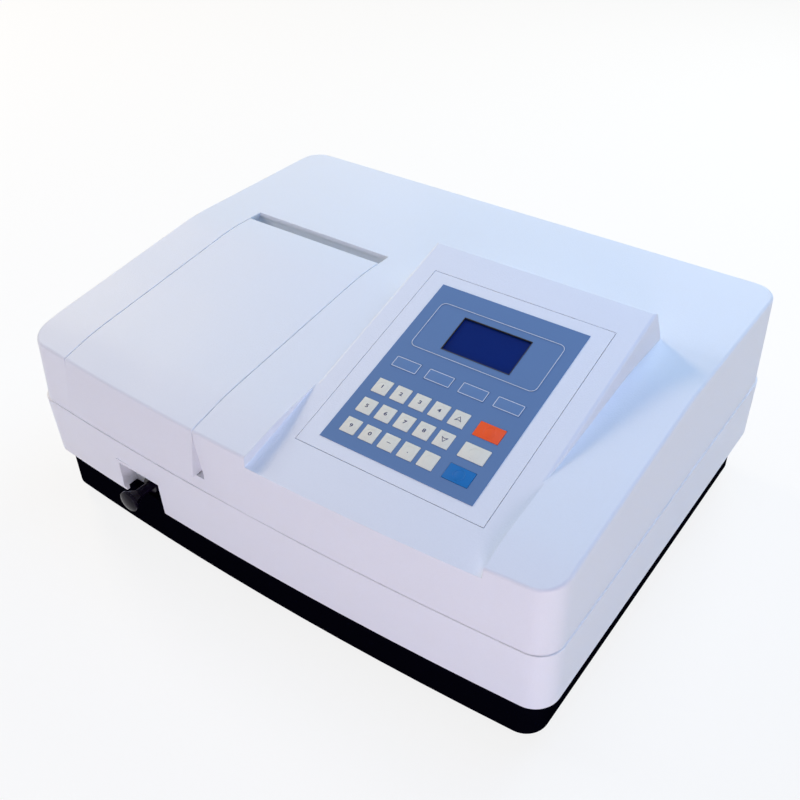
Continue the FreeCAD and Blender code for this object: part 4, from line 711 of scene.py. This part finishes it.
def digit(text, name):
    """A flat sign from the built-in typeface."""
    start_clean()
    bpy.ops.object.text_add(location=(0, 0, SIGN_LEVEL))
    sign = bpy.context.object
    sign.data.body = text
    sign.data.size = DIGIT_SIZE
    sign.data.align_x = "CENTER"
    sign.data.align_y = "CENTER"
    sign.data.offset = DIGIT_WEIGHT
    sign.data.extrude = INK
    sign.data.resolution_u = DIGIT_STEPS
    sign.scale = (DIGIT_STRETCH, 1, 1)
    bpy.ops.object.convert(target="MESH")
    sign = settle(bpy.context.object)
    sign.name = name
    return coat(sign, ink_navy)


# %% Arrow maker
ARROW_TIP = 2.3 * MM
ARROW_WING = -2.0 * MM
ARROW_HOLLOW = -1.1 * MM
ARROW_HALF_WIDTH = 2.8 * MM
ARROW_LINE = 0.42 * MM


def keep_rim(piece, width, thick=2 * INK):
    """Leaves a flat face's rim of a given width, and makes it as thick as a film of ink, or thicker."""
    choose(piece)
    bpy.context.tool_settings.mesh_select_mode = (False, False, True)
    bpy.ops.object.mode_set(mode="EDIT")
    bpy.ops.mesh.select_all(action="SELECT")
    bpy.ops.mesh.inset(thickness=width, depth=0)
    bpy.ops.mesh.delete(type="FACE")
    bpy.ops.object.mode_set(mode="OBJECT")
    film = piece.modifiers.new("film", "SOLIDIFY")
    film.thickness = thick
    film.offset = 0
    return apply_all(piece)


def arrow(name, turned):
    """An open arrowhead with a hollow base."""
    start_clean()
    bpy.ops.mesh.primitive_circle_add(vertices=4, radius=MM, fill_type="NGON", location=(0, 0, 0))
    head = bpy.context.object
    head.name = name
    corners = sorted(head.data.vertices, key=lambda corner: corner.co.y)
    for corner, level in zip(corners, (ARROW_HOLLOW, ARROW_WING, ARROW_WING, ARROW_TIP)):
        on_wing = abs(corner.co.x) > MM / 2
        corner.co.x = math.copysign(ARROW_HALF_WIDTH, corner.co.x) if on_wing else 0
        corner.co.y = level
    head.rotation_euler.z = math.pi if turned else 0
    head.location.z = SIGN_LEVEL
    return coat(keep_rim(settle(head), ARROW_LINE), ink_navy)


# %% Outline maker
OUTLINE_STEPS = 6


def outline(name, width, length, corner, line, finish, thick=2 * INK):
    """A frame with rounded corners, printed unless it is thicker than ink."""
    start_clean()
    bpy.ops.mesh.primitive_plane_add(size=1, location=(0, 0, 0))
    frame_line = bpy.context.object
    frame_line.name = name
    frame_line.scale = (width, length, 1)
    settle(frame_line)
    bpy.context.tool_settings.mesh_select_mode = (True, False, False)
    bpy.ops.object.mode_set(mode="EDIT")
    bpy.ops.mesh.select_all(action="SELECT")
    bpy.ops.mesh.bevel(offset=corner, offset_type="OFFSET", segments=OUTLINE_STEPS, affect="VERTICES")
    bpy.ops.object.mode_set(mode="OBJECT")
    return coat(keep_rim(frame_line, line, thick), finish)


# %% [markdown]
# ## Small keys
#
# Fifteen keys share one pad, so it is modelled once and copied, each copy with its own mesh. Each gets its
# sign, is laid on the panel where the model's plain key lies, and takes that key's place. Instances that
# share one mesh would be lighter, but every key has to carry a sign of its own.

# %% The small keys
SIGNS = {"key_1": "1", "key_2": "2", "key_3": "3", "key_4": "4", "key_5": "5", "key_6": "6",
         "key_7": "7", "key_8": "8", "key_9": "9", "key_0": "0", "key_minus": "–", "key_dot": ".",
         "key_up": None, "key_down": None, "key_blank": None}
SMALL_WIDTH = 12.4 * MM
SMALL_LENGTH = 13.0 * MM


def finish_key(piece, node):
    """Lays a key on the panel, joins it to its body and hides the plain solid."""
    lay_on_panel(piece, middle(node))
    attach(piece, node)
    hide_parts(node)


small = key_pad("small_key", SMALL_WIDTH, SMALL_LENGTH, key_ivory)
for node, sign in SIGNS.items():
    parts = [copy_of(small, node + "_pad")]
    if sign:
        parts.append(digit(sign, node + "_sign"))
    elif node in ("key_up", "key_down"):
        parts.append(arrow(node + "_sign", node == "key_down"))
    finish_key(join(parts, node + "_pad"), node)
bpy.data.objects.remove(small)
print("made", len(SIGNS), "small keys")

# %% [markdown]
# ## Wide keys and mode keys
#
# Three wide keys have the same dome as the small ones, in their own colours. The four mode keys are
# printed on the membrane's own blue: a flat pad with a pale outline, and no dome that shows. The key maker
# and the outline maker serve here again, which is shorter than modelling each key by itself.

# %% The wide keys and the mode keys
WIDE = [("key_wide_red", key_red, "key_red"), ("key_wide_white", key_ivory, "key_ivory"),
        ("key_wide_blue", key_blue, "key_blue")]
WIDE_WIDTH = 20.4 * MM
WIDE_LENGTH = 12.6 * MM
MODE_COUNT = 4
MODE_WIDTH = 21.6 * MM
MODE_LENGTH = 10.0 * MM
MODE_MARGIN = 0.2 * MM
MODE_CORNER = 0.8 * MM
MODE_LINE = 0.52 * MM

for node, finish, slot_name in WIDE:
    finish_key(key_pad(node + "_pad", WIDE_WIDTH, WIDE_LENGTH, finish), node)

for number in range(1, MODE_COUNT + 1):
    node = "key_mode_%d" % number
    pad = key_pad(node + "_pad", MODE_WIDTH, MODE_LENGTH, mode_blue, ring=False)
    border = outline(node + "_border", MODE_WIDTH - 2 * MODE_MARGIN, MODE_LENGTH - 2 * MODE_MARGIN,
                     MODE_CORNER, MODE_LINE, ink_pale)
    border.data.transform(Matrix.Translation((0, 0, KEY_HALF + INK)))
    finish_key(join([pad, border], node + "_pad"), node)
print("made", len(WIDE), "wide keys and", MODE_COUNT, "mode keys")

# %% [markdown]
# ## Display
#
# The display's glass lies a little below the membrane, in a window with a thin black frame round its walls.
# That black is painted shade: it stands for the shade on the window's walls. A pale line is printed round
# the display at some distance. Both could be marks in the membrane's own material, but as separate pieces
# they have clean edges and finishes of their own.

# %% Display
BORDER_WIDTH = 106.4 * MM
BORDER_LENGTH = 47.3 * MM
BORDER_CORNER = 5.0 * MM
BORDER_LINE = 0.5 * MM
BORDER_ACROSS = 0.2 * MM
BORDER_UP = 41.0 * MM
BORDER_LEVEL = 1.05 * MM
# The black frame in the display's window is painted shade on the window's walls.
SHADE_FRAME_WIDTH = 58.4 * MM
SHADE_FRAME_LENGTH = 34.2 * MM
SHADE_FRAME_CORNER = 0.3 * MM
SHADE_FRAME_LINE = 0.5 * MM
SHADE_FRAME_THICKNESS = 1.3 * MM
SHADE_FRAME_LEVEL = 0.3 * MM

overlay_centre = middle("panel_overlay")
display_centre = middle("lcd_display")
display_across = display_centre.x - overlay_centre.x
display_up = (display_centre - overlay_centre).dot(PANEL_TURN.to_3x3() @ Vector((0, 1, 0)))
border = outline("display_border", BORDER_WIDTH, BORDER_LENGTH, BORDER_CORNER, BORDER_LINE, ink_pale)
lay_on_panel(border, on_panel(overlay_centre, BORDER_ACROSS, BORDER_UP, BORDER_LEVEL))
shade_frame = outline("display_shade_frame", SHADE_FRAME_WIDTH, SHADE_FRAME_LENGTH, SHADE_FRAME_CORNER, SHADE_FRAME_LINE, painted_shade_black,
                SHADE_FRAME_THICKNESS)
lay_on_panel(shade_frame, on_panel(overlay_centre, display_across, display_up, SHADE_FRAME_LEVEL))
for piece in (border, shade_frame):
    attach(piece, "case")
print("the display's middle is", round(display_up / MM, 2), "mm up the slope from the membrane's")

# %% [markdown]
# ## Knob
#
# The pull knob is turned plastic: a broad face that is domed a little, and a cone behind it that narrows
# to the rod. It starts as a cylinder, the face's rim. Insets with a small rise make the dome, and one
# inset and one tapered extrusion make the cone. A spun profile would do as well, but the steps are easier
# to change one at a time.

# %% Tools for turned pieces
ROUND_STEPS = 4
ROUND_ANGLE = math.radians(40)


def aim(piece, test):
    """Opens edit mode with only the faces that pass the test selected."""
    choose(piece)
    bpy.context.tool_settings.mesh_select_mode = (False, False, True)
    for item in list(piece.data.vertices) + list(piece.data.edges):
        item.select = False
    for item in piece.data.polygons:
        item.select = test(item)
    bpy.ops.object.mode_set(mode="EDIT")


def rod_between(name, radius, front, rear, across, level, sides):
    """A cylinder along Y between two depths."""
    start_clean()
    bpy.ops.mesh.primitive_cylinder_add(vertices=sides, radius=radius, depth=rear - front,
                                        location=(across, (front + rear) / 2, level),
                                        rotation=(math.pi / 2, 0, 0))
    piece = settle(bpy.context.object)
    piece.name = name
    return piece


def round_rims(piece, width):
    """Rounds the sharp edges of a turned piece."""
    soften = piece.modifiers.new("soften", "BEVEL")
    soften.width = width
    soften.segments = ROUND_STEPS
    soften.limit_method = "ANGLE"
    soften.angle_limit = ROUND_ANGLE
    return apply_all(piece)


# %% Knob
low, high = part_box("pull_knob")
knob_centre = (low + high) / 2
KNOB_RADIUS = (high.x - low.x) / 2
KNOB_SIDES = 64
KNOB_CREASE_DEGREES = 50
KNOB_ROUND = 0.7 * MM
DOME = 1.4 * MM
DOME_STEPS = ((1.4 * MM, 0.6 * MM), (1.8 * MM, 0.4 * MM), (2.2 * MM, 0.3 * MM), (1.6 * MM, 0.1 * MM))
RIM = 3.0 * MM
CONE_STEP = 1.0 * MM
CONE_TAPER = 0.625
FACING = 0.9
FLAT_FACING = 0.99

knob = rod_between("knob", KNOB_RADIUS, low.y + DOME, low.y + DOME + RIM, knob_centre.x, knob_centre.z,
                   KNOB_SIDES)
aim(knob, lambda face: face.normal.y > FACING)
bpy.ops.mesh.inset(thickness=CONE_STEP, depth=0)
bpy.ops.mesh.extrude_region_move(TRANSFORM_OT_translate={"value": (0, high.y - low.y - DOME - RIM, 0)})
bpy.ops.transform.resize(value=(CONE_TAPER, 1, CONE_TAPER))
bpy.ops.object.mode_set(mode="OBJECT")
round_rims(knob, KNOB_ROUND)
aim(knob, lambda face: face.normal.y < -FLAT_FACING and face.area > KNOB_RADIUS ** 2)
for inward, rise in DOME_STEPS:
    bpy.ops.mesh.inset(thickness=inward, depth=rise)
bpy.ops.object.mode_set(mode="OBJECT")
smooth(coat(knob, knob_black), KNOB_CREASE_DEGREES)
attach(knob, "changer")
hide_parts("pull_knob")
print("turned the knob, radius", round(KNOB_RADIUS / MM, 1), "mm")

# %% [markdown]
# ## Rear screws
#
# Four pan-head screws hold the covers at the back. A head is a short cylinder with a rounded rim, and
# its cross is cut with two thin blocks, one after the other. Its shank goes through the wall into a boss.
# One screw is modelled and copied to the four places. Extruding the cross by hand would give the same
# form with more steps.

# %% Pattern screw
low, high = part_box("cover_screws")
HEAD_RADIUS = 3.5 * MM
HEAD_RISE = 3.0 * MM
HEAD_ROUND = 1.2 * MM
HEAD_SIDES = 40
CROSS_LENGTH = 3.6 * MM
CROSS_WIDTH = 0.8 * MM
CROSS_DEPTH = 2.4 * MM
CROSS_BARS = (("slot_level", CROSS_LENGTH, CROSS_WIDTH), ("slot_upright", CROSS_WIDTH, CROSS_LENGTH))
SHANK_RADIUS = 1.6 * MM
SHANK_SIDES = 24

head = rod_between("head", HEAD_RADIUS, high.y - HEAD_RISE, high.y, 0, 0, HEAD_SIDES)
round_rims(head, HEAD_ROUND)
for name, wide, tall in CROSS_BARS:
    start_clean()
    bpy.ops.mesh.primitive_cube_add(size=1, location=(0, high.y, 0), scale=(wide, CROSS_DEPTH, tall))
    blade = settle(bpy.context.object)
    blade.name = name
    carve = head.modifiers.new(name, "BOOLEAN")
    carve.operation = "DIFFERENCE"
    carve.object = blade
    carve.solver = "EXACT"
    apply_all(head)
    bpy.data.objects.remove(blade)
shank = rod_between("shank", SHANK_RADIUS, low.y, high.y - HEAD_RISE, 0, 0, SHANK_SIDES)
pattern = join([head, shank], "screw_pattern")
print("made one screw,", round((high.y - low.y) / MM, 1), "mm long")

# %% The four screws
SCREW_CREASE_DEGREES = 30

copies = []
for across in (low.x + HEAD_RADIUS, high.x - HEAD_RADIUS):
    for level in (low.z + HEAD_RADIUS, high.z - HEAD_RADIUS):
        twin = copy_of(pattern, "screw")
        twin.data.transform(Matrix.Translation((across, 0, level)))
        copies.append(twin)
bpy.data.objects.remove(pattern)
print("set", len(copies), "screws")
screws = smooth(coat(join(copies, "rear_screws"), steel_across), SCREW_CREASE_DEGREES)
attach(screws, "case")
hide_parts("cover_screws")
